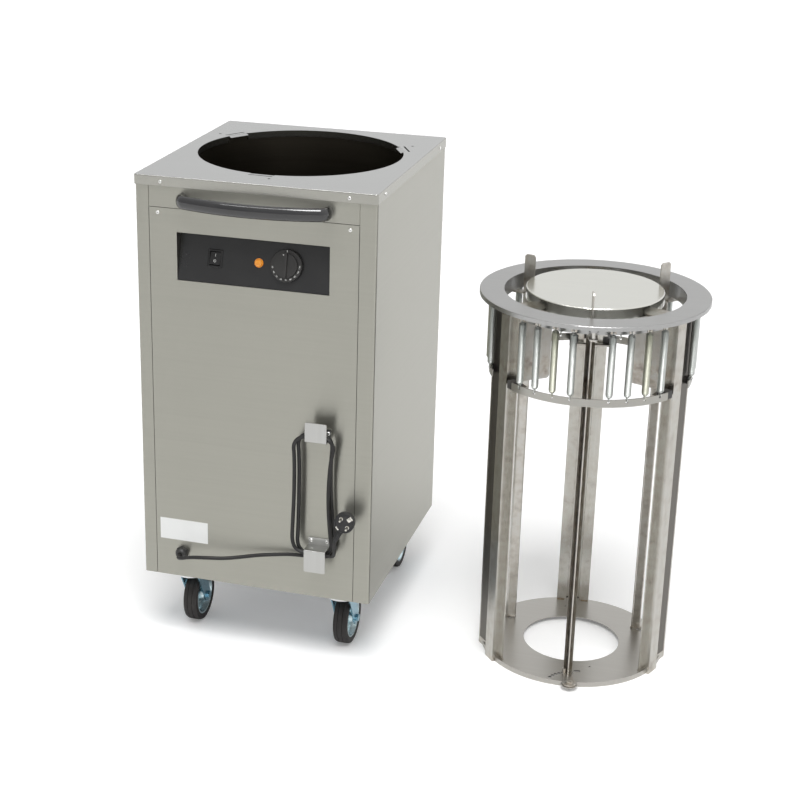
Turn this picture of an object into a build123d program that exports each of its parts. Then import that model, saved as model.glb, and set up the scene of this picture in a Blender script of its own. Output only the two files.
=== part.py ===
from build123d import *
import math
import os

# Heated plate dispenser cart: a steel cabinet on four swivel casters with a round well in its lid,
# and its sprung plate dispenser, lifted out and standing beside it on the same floor.
# Millimetres. +Z is up, +X runs from the cabinet to the dispenser and the cabinet's front faces -Y.
# The origin is under the middle of the whole set, on the floor, without the loose cord.

# ---------------------------------------------------------------- driving sizes: cabinet
cart_width = 442.0
cart_depth = 478.0
cart_height = 900.0
panel_sheet = 1.5
lid_sheet = 1.2
lid_rim = 18.0
lid_corner = 4.5
lid_fold = 2.4
lid_front_overhang = 4.0
lid_side_overhang = 1.5
body_corner = 3.0
seam = 1.0
left_seam_x = 26.0
right_seam_inset = 32.0
strip_height = 57.0
joggle_width = 20.0
tray_sheet = 2.0
tray_flange = 25.0
fit_gap = 0.3

# Well in the lid
well_radius = 188.3
well_back_shift = 20.0
well_lip = 12.0
well_tab_length = 8.0
well_tab_width = 42.0
well_tab_drop = 3.0
slit_width = 3.0
slit_length = 45.0
slit_radius = 198.5
lid_hole_radius = 2.5
lid_hole_circle = 216.0
lid_hole_angle = 6.0
sector_angles = (-81.0, 39.0, 159.0)
liner_radius = 190.0
liner_sheet = 1.2
pan_height = 14.0
element_circle = 120.0
element_rod = 4.25
element_height = 34.0
element_bend = 12.0
element_gap_angle = 20.0
terminal_size = (46.0, 22.0, 10.0)

# Control window, tilted plate and controls
window_left = 77.4
window_width = 280.5
window_drop = 186.0
window_height = 87.0
plate_tilt = 15.0
plate_thickness = 2.0
plate_seat = 1.0
switch_place = (67.5, 44.4)
switch_bezel = (27.0, 32.0, 2.0)
switch_opening = (20.0, 25.0)
switch_body = (22.0, 27.0, 14.0)
rocker_size = (19.0, 23.0, 8.0)
rocker_tilt = 10.0
rocker_pivot_depth = 3.0
rocker_pin_radius = 1.5
lamp_place = (148.4, 44.1)
lamp_bezel_radius = 8.0
lamp_dome_radius = 6.6
lamp_body_radius = 5.0
lamp_body_length = 20.0
knob_place = (200.3, 44.2)
knob_skirt_radius = 28.5
knob_skirt = 7.5
knob_radius = 21.0
knob_height = 13.5
knob_grip_width = 5.0
knob_grip_step = 3.0
spindle_radius = 3.0
spindle_length = 14.0
thermostat_size = (36.0, 36.0, 28.0)
bushing_radius = 4.7

# Push handle
handle_left_x = 90.0
handle_right_inset = 86.0
handle_drop = 39.0
handle_post = 21.0
handle_bow = 21.0
handle_bend = 16.0
grip_height = 24.0
grip_depth = 16.0

# Screws
screw_head_radius = 3.4
screw_head = 1.6
screw_shank_radius = 2.0
screw_length = 8.0
screw_hole_gap = 0.1
lid_screw_drop = 10.5
lid_screw_inset = 50.0
panel_screw_drop = 9.5
panel_screw_inset = 16.5

# Cord, gland, hooks and plate for the ratings
cord_radius = 3.5
gland_place = (78.0, 185.0)
gland_reach = 16.0
gland_nut_radius = 12.5
gland_nut = 5.0
gland_tip_radius = 6.5
gland_thread_radius = 9.0
hook_left_x = 325.0
hook_width = 40.0
hook_sheet = 2.0
hook_reach = 30.0
upper_shelf_z = 450.0
upper_lip = 37.0
upper_back_plate = 16.0
lower_shelf_z = 240.0
lower_lip = 43.0
lower_back_plate = 14.0
hook_screw_inset = 5.0
hook_screw_rise = 8.0
rating_corner = (34.3, 207.9)
rating_size = (94.0, 42.0)
rating_thickness = 0.4
plug_radius = 18.5
plug_depth = 24.0
plug_reach = 33.0
plug_relief_radius = 7.0
plug_relief_tip = 4.4
pin_radius = 2.4
pin_length = 19.0
pin_spacing = 19.0
pin_turn = 27.0
earth_clip = (8.0, 4.0, 10.0)
hook_corner = 3.0

# ---------------------------------------------------------------- driving sizes: casters
caster_height = 134.0
caster_side_inset = 70.4
caster_front_inset = 65.0
caster_trail = 36.4
wheel_radius = 51.0
tyre_width = 28.0
tyre_inner_radius = 38.5
rim_width = 25.0
rim_web = 6.0
rim_lip_radius = 33.5
hub_radius = 12.0
axle_radius = 5.0
axle_gap = 0.05
fork_sheet = 2.5
fork_side_gap = 2.5
fork_crown = 4.5
fork_crown_radius = 27.0
fork_boss_radius = 13.0
axle_nut_width = 13.0
axle_nut = 4.3
caster_plate = (84.0, 74.0, 4.0)
caster_plate_corner = 6.0
race_radius = 28.0
race_height = 8.0
kingpin_radius = 6.0
kingpin_gap = 0.05
caster_bolt_spacing = (62.0, 52.0)
caster_bolt_radius = 4.0
caster_bolt_head = 3.5

# ---------------------------------------------------------------- driving sizes: dispenser
set_gap = 135.0
insert_back_place = 229.0
ring_outer_radius = 203.5
ring_inner_radius = 160.0
ring_top = 701.0
ring_sheet = 1.5
ring_rim = 8.0
ring_collar = 28.0
base_hole_radius = 90.0
base_outer_radius = 170.0
base_top = 9.5
base_sheet = 1.5
upright_angles = (-141.0, -21.0, 99.0)
upright_names = ("left", "right", "back")
far_wing_sides = (-1, 1, 0)
web_outer = 175.0
web_sheet = 2.0
web_half_width = 14.5
wing_outer = 163.0
wing_sheet = 2.0
near_wing = 31.0
far_wing = 66.0
foot_notch_width = 15.0
foot_notch_height = 13.0
spring_circle = 180.0
spring_offsets = (10.5, 20.7, 31.4, 41.9)
spring_radius = 6.5
spring_top = 676.0
spring_bottom = 571.0
spring_neck = 3.5
spring_foot = 6.0
spring_neck_radius = 1.7
hook_ring_radius = 3.2
hook_wire_radius = 0.9
lug_hole_z = 686.0
lug_width = 10.0
lug_sheet = 2.0
lug_hole_radius = 2.2
lug_margin = 5.0
band_bottom = 549.0
band_height = 14.0
band_sheet = 2.0
band_hole_z = 558.5
band_half_angle = 48.0
platform_radius = 122.0
platform_top = 707.0
platform_skirt = 20.0
platform_sheet = 1.5
platform_edge = 2.5
arm_inner = 83.0
arm_outer = 158.0
arm_sheet = 3.0
arm_corner = 7.0
arm_bottom = 549.0
arm_tab_inner = 60.0
arm_tab_outer = 152.0
arm_tab_width = 44.0
arm_tab_sheet = 3.0
yoke_inner = 146.0
yoke_sheet = 3.0
glide_inner = 156.0
glide_half = 8.0
glide_gap = 0.3
slider_outer = 172.0
slider_width = 24.0
slider_heights = ((560.0, 590.0), (650.0, 686.0))
pivot_circle = 177.5
pivot_radius = 4.0
pivot_gap = 0.05
pivot_ear_radius = 15.0
index_circle = 41.3
index_first = -4.5
index_step = 10.8
index_count = 7
index_rest = 1
index_hole_radius = 3.1
index_pin_radius = 4.0
index_pin_height = 8.0
guide_foot_radius = 12.5
guide_foot_sheet = 3.0
guide_arm_width = 16.0
guide_screw_radius = 6.0
guide_screw_head = 3.5
guide_blade_near = 28.0
guide_blade_far = 49.0
guide_blade_sheet = 2.0
guide_blade_top = 741.0
guide_blade_corner = 3.5
guide_fold_depth = 13.0
guide_fold_half = 8.0
guide_fold_sheet = 1.5
guide_fold_top = 668.0
guide_link_sheet = 3.0
guide_boss_radius = 8.0
guide_boss_length = 16.0

# ---------------------------------------------------------------- places worked out from the sizes
body_front = lid_front_overhang
body_back = cart_depth - lid_side_overhang
body_left = lid_side_overhang
body_right = cart_width - lid_side_overhang
body_bottom = caster_height
body_top = cart_height - lid_sheet
strip_bottom = cart_height - strip_height
right_seam_x = cart_width - right_seam_inset
window_bottom = cart_height - window_drop
handle_right_x = cart_width - handle_right_inset
handle_z = cart_height - handle_drop
wheel_back = cart_depth - caster_front_inset + caster_trail + wheel_radius
handle_front = body_front - handle_post - handle_bow - grip_depth / 2
set_length = screw_head + cart_width + set_gap + 2 * ring_outer_radius
cart_left_x = screw_head - set_length / 2
cart_front_y = -(handle_front + wheel_back) / 2
insert_x = set_length / 2 - ring_outer_radius
insert_y = cart_front_y + insert_back_place
cart_place = Pos(cart_left_x, cart_front_y, 0)
insert_place = Pos(insert_x, insert_y, 0)
well_x = cart_width / 2
well_y = cart_depth / 2 + well_back_shift
low_corner = (Align.MIN, Align.MIN, Align.MIN)
on_base = (Align.CENTER, Align.CENTER, Align.MIN)
nodes = {}


def block(x0, x1, y0, y1, z0, z1):
    return Pos(x0, y0, z0) * Box(x1 - x0, y1 - y0, z1 - z0, align=low_corner)


def rod(radius, x, y, z0, z1):
    return Pos(x, y, z0) * Cylinder(radius, z1 - z0, align=on_base)


def rod_along(radius, start, direction, length):
    return Plane(origin=start, z_dir=direction) * Cylinder(radius, length, align=on_base)


def ring(inner, outer, z0, z1):
    return rod(outer, 0, 0, z0, z1) - rod(inner, 0, 0, z0 - 1, z1 + 1)


def rounded_prism(x0, x1, y0, y1, z0, z1, corner):
    outline = RectangleRounded(x1 - x0, y1 - y0, corner)
    return Pos((x0 + x1) / 2, (y0 + y1) / 2, z0) * extrude(outline, z1 - z0)


def turned(shape, angle):
    return Rot(0, 0, angle) * shape


def polar(radius, angle):
    return (radius * math.cos(math.radians(angle)), radius * math.sin(math.radians(angle)))


# ---------------------------------------------------------------- cabinet shell
def body_shell():
    outer = rounded_prism(body_left, body_right, body_front, body_back, body_bottom, body_top, body_corner)
    inner = rounded_prism(body_left + panel_sheet, body_right - panel_sheet, body_front + panel_sheet,
                          body_back - panel_sheet, body_bottom - 1, body_top + 1, body_corner - panel_sheet)
    return outer - inner


def screw(start, direction):
    inward = Vector(*direction)
    head = rod_along(screw_head_radius, Vector(*start) - inward * screw_head, inward, screw_head)
    head = fillet(head.edges().filter_by(GeomType.CIRCLE).sort_by(Axis(start, direction))[:1], screw_head * 0.6)
    return head + rod_along(screw_shank_radius, start, inward, screw_length)


def screw_hole(start, direction):
    inward = Vector(*direction)
    return rod_along(screw_shank_radius + screw_hole_gap, Vector(*start) - inward * 2, inward, screw_length + 4)


def lid_screw_seats():
    z = cart_height - lid_screw_drop
    seats = []
    for x in (lid_screw_inset, cart_width - lid_screw_inset):
        seats.append(((x, 0, z), (0, 1, 0)))
        seats.append(((x, cart_depth, z), (0, -1, 0)))
    for y in (lid_screw_inset, cart_depth - lid_screw_inset):
        seats.append(((0, y, z), (1, 0, 0)))
        seats.append(((cart_width, y, z), (-1, 0, 0)))
    return seats


def panel_screw_seats():
    z = strip_bottom - panel_screw_drop
    return [((left_seam_x + panel_screw_inset, body_front, z), (0, 1, 0)),
            ((right_seam_x - panel_screw_inset, body_front, z), (0, 1, 0))]


def with_screw_holes(shape, seats):
    for start, direction in seats:
        shape = shape - screw_hole(start, direction)
    return shape


shell = body_shell()
middle_left = left_seam_x + seam / 2
middle_right = right_seam_x - seam / 2
inner_front = body_front + panel_sheet
inner_back = body_back - panel_sheet
joggle_top = strip_bottom - seam
joggle_bottom = body_bottom + tray_sheet + tray_flange + fit_gap


def side_panel(x0, x1, joggle_x0, joggle_x1):
    panel = shell & block(x0, x1, body_front - 1, body_back + 1, body_bottom, body_top)
    front = block(joggle_x0, joggle_x1, inner_front, inner_front + panel_sheet, joggle_bottom, body_top)
    back = block(joggle_x0, joggle_x1, inner_back - panel_sheet, inner_back, joggle_bottom, body_top)
    return with_screw_holes(panel + front + back, panel_screw_seats() + lid_screw_seats())


left_panel = side_panel(body_left, left_seam_x - seam / 2, left_seam_x - joggle_width / 2,
                        left_seam_x + joggle_width)
right_panel = side_panel(right_seam_x + seam / 2, body_right, right_seam_x - joggle_width,
                         right_seam_x + joggle_width / 2)
nodes["left_side_panel"] = left_panel
nodes["right_side_panel"] = right_panel

back_sheet = shell & block(middle_left, middle_right, cart_depth / 2, body_back + 1, body_bottom, body_top)
nodes["back_panel"] = with_screw_holes(back_sheet, lid_screw_seats())

strip = shell & block(middle_left, middle_right, body_front - 1, cart_depth / 2, strip_bottom + seam / 2, body_top)
strip_fold = block(left_seam_x + joggle_width + 1, right_seam_x - joggle_width - 1, inner_front,
                   inner_front + 12, strip_bottom + seam / 2, strip_bottom + seam / 2 + panel_sheet)
nodes["front_top_rail"] = with_screw_holes(strip + strip_fold, lid_screw_seats())

# Base tray, its edges turned up inside the panels
tray_front = inner_front + panel_sheet + 0.2
tray_back = inner_back - panel_sheet - 0.2
tray_left = body_left + panel_sheet
tray_right = body_right - panel_sheet
tray_outer = block(tray_left, tray_right, tray_front, tray_back, body_bottom,
                   body_bottom + tray_sheet + tray_flange)
tray_inner = block(tray_left + tray_sheet, tray_right - tray_sheet, tray_front + tray_sheet,
                   tray_back - tray_sheet, body_bottom + tray_sheet, cart_height)
base_tray = tray_outer - tray_inner


# ---------------------------------------------------------------- lid
def lid_shape():
    outer = rounded_prism(0, cart_width, 0, cart_depth, cart_height - lid_rim, cart_height, lid_corner)
    outer = fillet(outer.edges().group_by(Axis.Z)[-1], lid_fold)
    inner = rounded_prism(lid_sheet, cart_width - lid_sheet, lid_sheet, cart_depth - lid_sheet,
                          cart_height - lid_rim - 1, body_top, lid_corner - lid_sheet)
    lid = outer - inner
    centre = Pos(well_x, well_y, 0)
    lip_bottom = cart_height - well_lip
    lid = lid + centre * ring(well_radius, well_radius + lid_sheet, lip_bottom, body_top)
    lid = lid - centre * rod(well_radius, 0, 0, lip_bottom - 1, cart_height + 1)
    for angle in sector_angles:
        seat = centre * Rot(0, 0, angle - 11.5)
        cut_outer = slit_radius + slit_width / 2
        slit = block(slit_radius - slit_width / 2, cut_outer, -slit_length / 2, slit_length / 2,
                     body_top - 1, cart_height + 1)
        lip_gap = block(well_radius - 12, well_radius + lid_sheet + fit_gap, -slit_length / 2, slit_length / 2,
                        lip_bottom - 1, cart_height + 1)
        tab = Pos(well_radius + 2, 0, cart_height) * Rot(0, -math.degrees(
            math.atan2(well_tab_drop, well_tab_length)), 0) * Box(
            well_tab_length, well_tab_width, lid_sheet, align=(Align.MAX, Align.CENTER, Align.MAX))
        hole = Rot(0, 0, lid_hole_angle) * rod(lid_hole_radius, lid_hole_circle, 0, body_top - 1, cart_height + 1)
        lid = lid - seat * slit - seat * lip_gap - centre * Rot(0, 0, angle - 11.5) * hole
        lid = lid + seat * tab
    return with_screw_holes(lid, lid_screw_seats())


nodes["lid"] = lid_shape()
nodes["case_screws"] = Compound([screw(*seat) for seat in lid_screw_seats() + panel_screw_seats()])

# ---------------------------------------------------------------- control window and controls
tilt = math.radians(plate_tilt)
window_right = window_left + window_width
window_top = window_bottom + window_height
recess_depth = window_height * math.tan(tilt)
slope_length = window_height / math.cos(tilt)
panel_plane = Plane(origin=(window_left, body_front, window_bottom), x_dir=(1, 0, 0),
                    z_dir=(0, -math.cos(tilt), math.sin(tilt)))


def cheek(x):
    corners = [(body_front, window_bottom), (body_front, window_top), (body_front + recess_depth, window_top)]
    face = make_face(Polyline(*[(x, y, z) for y, z in corners], close=True))
    return extrude(face, panel_sheet, dir=(1, 0, 0))


def front_panel_shape():
    panel = shell & block(middle_left, middle_right, body_front - 1, cart_depth / 2, body_bottom,
                          strip_bottom - seam / 2)
    panel = panel - block(window_left, window_right, body_front - 1, inner_front + 1, window_bottom, window_top)
    panel = panel + cheek(window_left - panel_sheet) + cheek(window_right)
    panel = panel + block(window_left - panel_sheet, window_right + panel_sheet, body_front,
                          body_front + recess_depth, window_top, window_top + panel_sheet)
    gland_x, gland_z = gland_place
    panel = panel - rod_along(gland_thread_radius + screw_hole_gap, (gland_x, body_front - 1, gland_z),
                              (0, 1, 0), panel_sheet + 2)
    return with_screw_holes(panel, panel_screw_seats() + hook_screw_seats())


def hook_screw_seats():
    seats = []
    for x in (hook_left_x + hook_screw_inset, hook_left_x + hook_width - hook_screw_inset):
        for shelf_z in (upper_shelf_z + hook_sheet, lower_shelf_z):
            seats.append(((x, body_front - hook_sheet, shelf_z + hook_screw_rise), (0, 1, 0)))
    return seats


nodes["front_panel"] = front_panel_shape()

plate_low = plate_seat
plate_high = slope_length - plate_seat
plate_mid = (plate_low + plate_high) / 2
switch_x, switch_s = switch_place
lamp_x, lamp_s = lamp_place
knob_x, knob_s = knob_place


def in_plane(x, s, depth, shape):
    return panel_plane * Pos(x, s, depth) * shape


under_plate = (Align.CENTER, Align.CENTER, Align.MAX)
plate_blank = in_plane(window_width / 2, plate_mid, 0, Box(window_width - 0.4, plate_high - plate_low,
                                                          plate_thickness, align=under_plate))
switch_cut = in_plane(switch_x, switch_s, 1, Box(switch_body[0] + 0.4, switch_body[1] + 0.4,
                                                plate_thickness + 2, align=under_plate))
lamp_cut = in_plane(lamp_x, lamp_s, 1, Cylinder(lamp_body_radius + 0.1, plate_thickness + 2, align=under_plate))
bushing_cut = in_plane(knob_x, knob_s, 1, Cylinder(bushing_radius + 0.1, plate_thickness + 2, align=under_plate))
nodes["control_plate"] = plate_blank - switch_cut - lamp_cut - bushing_cut


# Rocker switch: housing with a bezel, and the rocker on its pin
def switch_housing_shape():
    bezel = Box(*switch_bezel, align=on_base)
    bezel = fillet(bezel.edges().filter_by(Axis.Z), 1.5)
    bezel = chamfer(bezel.faces().sort_by(Axis.Z)[-1].outer_wire().edges(), 0.8)
    body = Box(*switch_body, align=under_plate)
    cavity = Pos(0, 0, 3) * Box(switch_opening[0], switch_opening[1], switch_body[2] + 1, align=under_plate)
    pin_hole = Pos(0, 0, -rocker_pivot_depth) * Rot(0, 90, 0) * Cylinder(
        rocker_pin_radius + axle_gap, switch_body[0] + 2)
    return bezel + body - cavity - pin_hole


def rocker_shape():
    width, height, thickness = rocker_size
    key = Box(width, height, thickness)
    key = fillet(key.edges().filter_by(Axis.X), 1.2)
    pin = Rot(0, 90, 0) * Cylinder(rocker_pin_radius, switch_body[0])
    return Rot(-rocker_tilt, 0, 0) * key + pin


nodes["switch_housing"] = in_plane(switch_x, switch_s, 0, switch_housing_shape())
nodes["rocker_button"] = in_plane(switch_x, switch_s, -rocker_pivot_depth, rocker_shape())


# Pilot lamp: bezel, dome and body in one moulding
def lamp_shape():
    bezel = Cylinder(lamp_bezel_radius, 1.2, align=on_base)
    dome = Pos(0, 0, 1.2) * Cylinder(lamp_dome_radius, 5.0, align=on_base)
    dome = fillet(dome.edges().group_by(Axis.Z)[-1], 3.6)
    body = Cylinder(lamp_body_radius, lamp_body_length, align=under_plate)
    return bezel + dome + body


nodes["pilot_lamp"] = in_plane(lamp_x, lamp_s, 0, lamp_shape())


# Thermostat: body and bushing behind the plate, and the knob with its spindle
def thermostat_shape():
    body = Pos(0, 0, -plate_thickness) * Box(*thermostat_size, align=under_plate)
    bushing = Cylinder(bushing_radius, plate_thickness + 1, align=under_plate)
    bore = Pos(0, 0, 1) * Cylinder(spindle_radius + axle_gap, spindle_length + 2, align=under_plate)
    return body + bushing - bore


def knob_shape():
    skirt = Pos(0, 0, fit_gap) * Cylinder(knob_skirt_radius, knob_skirt, align=on_base)
    skirt = chamfer(skirt.edges().group_by(Axis.Z)[-1], 1.0)
    cap = Pos(0, 0, fit_gap + knob_skirt) * Cylinder(knob_radius, knob_height - knob_skirt, align=on_base)
    side_cut = Box(2 * knob_radius, 2 * knob_radius, knob_grip_step, align=(Align.MIN, Align.CENTER, Align.MAX))
    top = fit_gap + knob_height
    cap = cap - Pos(knob_grip_width / 2, 0, top) * side_cut
    cap = cap - Pos(-knob_grip_width / 2, 0, top) * Rot(0, 0, 180) * side_cut
    spindle = Pos(0, 0, fit_gap) * Cylinder(spindle_radius, spindle_length, align=under_plate)
    return skirt + cap + spindle


nodes["thermostat_body"] = in_plane(knob_x, knob_s, 0, thermostat_shape())
nodes["temperature_knob"] = in_plane(knob_x, knob_s, 0, knob_shape())

# ---------------------------------------------------------------- well, heating element and terminals
tray_top = body_bottom + tray_sheet
pan_top = tray_top + pan_height
well_place = Pos(well_x, well_y, 0)
nodes["well_liner"] = well_place * ring(liner_radius, liner_radius + liner_sheet, tray_top, body_top - fit_gap)
element_z = tray_top + element_height
terminal_top = tray_top + terminal_size[2]


def element_leg_place(angle, side):
    x, y = polar(element_circle, angle)
    along = Vector(-math.sin(math.radians(angle)), math.cos(math.radians(angle)), 0) * side
    return Vector(x, y, element_z), along


def heating_element_shape():
    start_angle = -90 + element_gap_angle / 2
    end_angle = 270 - element_gap_angle / 2
    pieces = []
    feet = []
    quarter = math.radians(45)
    for angle, side in ((start_angle, -1), (end_angle, 1)):
        point, along = element_leg_place(angle, side)
        foot = point + along * element_bend - Vector(0, 0, element_bend)
        middle = point + along * element_bend * math.sin(quarter) - Vector(0, 0, element_bend * (
            1 - math.cos(quarter)))
        base = Vector(foot.X, foot.Y, terminal_top)
        pieces.append((Line(base, foot), ThreePointArc(foot, middle, point)))
        feet.append(base)
    loop = CenterArc((0, 0, element_z), element_circle, start_angle, end_angle - start_angle)
    path = Wire([pieces[0][0], pieces[0][1], loop, pieces[1][1], pieces[1][0]])
    section = Plane(origin=feet[0], z_dir=(0, 0, 1)) * Circle(element_rod)
    return sweep(section, path=path), feet


element, element_feet = heating_element_shape()
nodes["heating_element"] = well_place * element

pan = rod(liner_radius - fit_gap, 0, 0, tray_top, pan_top) - rod(liner_radius - fit_gap - panel_sheet, 0, 0,
                                                                 tray_top - 1, pan_top - panel_sheet)
for foot in element_feet:
    pan = pan - rod(element_rod + 1, foot.X, foot.Y, tray_top, pan_top + 1)
for angle in (30.0, 150.0, 270.0 - 30.0):
    post_x, post_y = polar(element_circle, angle)
    pan = pan + rod(element_rod, post_x, post_y, pan_top - 0.5, element_z - element_rod - 0.2)
nodes["well_floor"] = well_place * pan
nodes["base_tray"] = base_tray
terminal = Pos(0, -element_circle, tray_top) * Box(*terminal_size, align=on_base)
nodes["terminal_block"] = well_place * terminal


# ---------------------------------------------------------------- push handle
def handle_shape():
    post_end = body_front - handle_post
    middle_x = (handle_left_x + handle_right_x) / 2
    left_foot = Line((handle_left_x, body_front, 0), (handle_left_x, post_end, 0))
    bow = ThreePointArc((handle_left_x, post_end, 0), (middle_x, post_end - handle_bow, 0),
                        (handle_right_x, post_end, 0))
    right_foot = Line((handle_right_x, post_end, 0), (handle_right_x, body_front, 0))
    path = Wire([left_foot, bow, right_foot])
    corners = [v for v in path.vertices() if abs(v.Y - post_end) < 0.01]
    path = path.fillet_2d(handle_bend, corners)
    path = Pos(0, 0, handle_z) * path
    section = Plane(origin=(handle_left_x, body_front, handle_z), x_dir=(1, 0, 0), z_dir=(0, -1, 0)) * Ellipse(
        grip_depth / 2, grip_height / 2)
    return sweep(section, path=path)


nodes["push_handle"] = handle_shape()


# ---------------------------------------------------------------- cord hooks, gland, blank plate
def hook_shape(shelf_low, shelf_side, lip_z0, lip_z1, back_z0, back_z1):
    x0 = hook_left_x
    x1 = hook_left_x + hook_width
    back = block(x0, x1, body_front - hook_sheet, body_front, back_z0, back_z1)
    shelf = block(x0, x1, body_front - hook_reach, body_front, shelf_low, shelf_low + hook_sheet)
    lip = block(x0, x1, body_front - hook_reach, body_front - hook_reach + hook_sheet, lip_z0, lip_z1)
    hook = back + shelf + lip
    outer_bend = hook.edges().filter_by(Axis.X).filter_by(
        lambda e: abs(e.center().Y - (body_front - hook_reach)) < 0.01 and abs(e.center().Z - shelf_side) < 0.01)
    hook = fillet(outer_bend, hook_sheet * 0.9)
    free_z = lip_z1 if abs(lip_z0 - shelf_side) < abs(lip_z1 - shelf_side) else lip_z0
    free_corners = hook.edges().filter_by(Axis.Y).filter_by(
        lambda e: e.center().Y < body_front - hook_reach + hook_sheet and abs(e.center().Z - free_z) < 0.01)
    return with_screw_holes(fillet(free_corners, hook_corner), hook_screw_seats())


nodes["upper_cord_hook"] = hook_shape(upper_shelf_z, upper_shelf_z, upper_shelf_z, upper_shelf_z + upper_lip,
                                      upper_shelf_z, upper_shelf_z + hook_sheet + upper_back_plate)
nodes["lower_cord_hook"] = hook_shape(lower_shelf_z - hook_sheet, lower_shelf_z, lower_shelf_z - lower_lip,
                                      lower_shelf_z, lower_shelf_z - hook_sheet, lower_shelf_z + lower_back_plate)
nodes["hook_screws"] = Compound([screw(*seat) for seat in hook_screw_seats()])
rating_x, rating_z = rating_corner
nodes["rating_plate"] = block(rating_x, rating_x + rating_size[0], body_front - rating_thickness, body_front,
                              rating_z, rating_z + rating_size[1])


def gland_shape():
    x, z = gland_place
    hexagon = Plane(origin=(x, body_front, z), z_dir=(0, -1, 0)) * RegularPolygon(gland_nut_radius, 6)
    nut = extrude(hexagon, gland_nut)
    dome = Plane(origin=(x, body_front - gland_nut, z), z_dir=(0, -1, 0)) * Cone(
        gland_nut_radius - 1.5, gland_tip_radius, gland_reach - gland_nut, align=on_base)
    thread = rod_along(gland_thread_radius, (x, body_front, z), (0, 1, 0), panel_sheet + 4.5)
    lock_nut = rod_along(gland_nut_radius, (x, inner_front, z), (0, 1, 0), 4.0)
    return nut + dome + thread + lock_nut


nodes["cable_gland"] = gland_shape()

# ---------------------------------------------------------------- supply cord and plug
# Points chosen by hand, in the cabinet's own axes: x from its left side, y from the lid's front edge, z up.
run_points = [
    (78.0, -12.0, 185.0),
    (78.0, -25.0, 185.0),
    (88.0, -33.0, 189.5),
    (103.1, -31.0, 193.1),
    (135.0, -31.0, 197.0),
    (168.7, -25.0, 197.7),
    (199.8, -18.0, 202.3),
    (231.2, -12.0, 208.5),
    (262.0, -8.5, 213.0),
    (290.3, -4.7, 216.5),
    (315.3, -4.7, 217.8),
]
# The hank: two loops over the upper hook and under the lower one, and the end that goes to the plug.
# Each entry is a corner of the route and its bend radius, 0 where the runs beside it set the radius.
hank_route = [
    ((315.3, -4.7, 217.8), 0),
    ((379.0, -4.7, 221.1), 22),
    ((369.5, -8.7, 345.0), 0),
    ((369.3, -12.4, 460.0), 16),
    ((311.5, -12.4, 460.0), 20),
    ((311.0, -12.4, 350.0), 0),
    ((309.0, -12.4, 229.0), 22),
    ((372.5, -12.4, 229.0), 18),
    ((366.0, -16.3, 345.0), 0),
    ((375.0, -19.9, 458.0), 20),
    ((305.0, -19.9, 458.0), 20),
    ((304.3, -19.9, 350.0), 0),
    ((301.5, -19.9, 285.0), 0),
    ((302.0, -19.9, 231.0), 26),
    ((378.0, -19.9, 231.0), 16),
    ((383.1, -37.5, 265.2), 0),
    ((388.7, -34.2, 277.6), 0),
]


def corner_radius(before, corner, after):
    back = Vector(*before) - Vector(*corner)
    ahead = Vector(*after) - Vector(*corner)
    turn = 180 - back.get_angle(ahead)
    return 0.45 * min(back.length, ahead.length) / math.tan(math.radians(turn / 2))


def route_radii(points, given):
    radii = []
    for i in range(1, len(points) - 1):
        radii.append(given[i] or corner_radius(points[i - 1], points[i], points[i + 1]))
    return radii


def cord_tube(name, points, given):
    radii = route_radii(points, given)
    path = FilletPolyline(*points, radius=radii)
    start_way = Vector(*points[1]) - Vector(*points[0])
    tube = sweep(Plane(origin=points[0], z_dir=start_way) * Circle(cord_radius), path=path)
    print(name, "radii", [round(r, 1) for r in radii])
    print(name, "length", round(path.length, 1), "volume ratio",
          round(tube.volume / (math.pi * cord_radius ** 2 * path.length), 4))
    return tube, path


def least_self_gap(path):
    count = int(path.length / 2)
    samples = [path @ (i / count) for i in range(count + 1)]
    step = path.length / count
    apart = int(math.pi * cord_radius * 2 / step) + 2
    least = min((samples[i] - samples[j]).length for i in range(len(samples))
                for j in range(i + apart, len(samples)))
    return least - 2 * cord_radius


run_tube, run_path = cord_tube("cord_run", run_points, [0] * len(run_points))
hank_points = [point for point, radius in hank_route]
hank_tube, hank_path = cord_tube("cord_hank", hank_points, [radius for point, radius in hank_route])
print("cord_hank least gap to itself", round(least_self_gap(hank_path), 2))
nodes["cord_run"] = run_tube
nodes["cord_hank"] = hank_tube


def plug_shape():
    cord_end = Vector(*hank_points[-1])
    upward = (cord_end - Vector(*hank_points[-2])).normalized()
    facing = Vector(0.15, -0.97, 0.19)
    facing = (facing - upward * facing.dot(upward)).normalized()
    middle = cord_end + upward * plug_reach
    sideways = upward.cross(facing)
    turn = math.radians(pin_turn)
    pin_line = sideways * math.cos(turn) - upward * math.sin(turn)
    frame = Plane(origin=middle, x_dir=pin_line, z_dir=facing)
    body = Cylinder(plug_radius, plug_depth)
    body = fillet(body.edges().group_by(Axis.Z)[0], 4.0)
    body = fillet(body.edges().group_by(Axis.Z)[-1], 1.0)
    for side in (-1, 1):
        pin = Pos(side * pin_spacing / 2, 0, plug_depth / 2) * Cylinder(pin_radius, pin_length, align=on_base)
        body = body + fillet(pin.edges().group_by(Axis.Z)[-1], pin_radius * 0.7)
        clip = Pos(0, side * (plug_radius - 1.2), plug_depth / 2 + 0.8) * Box(
            *earth_clip, align=(Align.CENTER, Align.MAX if side > 0 else Align.MIN, Align.MAX))
        body = body + clip
    relief = Plane(origin=cord_end, z_dir=upward) * Cone(plug_relief_tip, plug_relief_radius,
                                                         plug_reach - plug_radius * 0.6, align=on_base)
    return frame * body + relief


nodes["plug"] = plug_shape()

for name in nodes:
    nodes[name] = cart_place * nodes[name]


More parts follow.
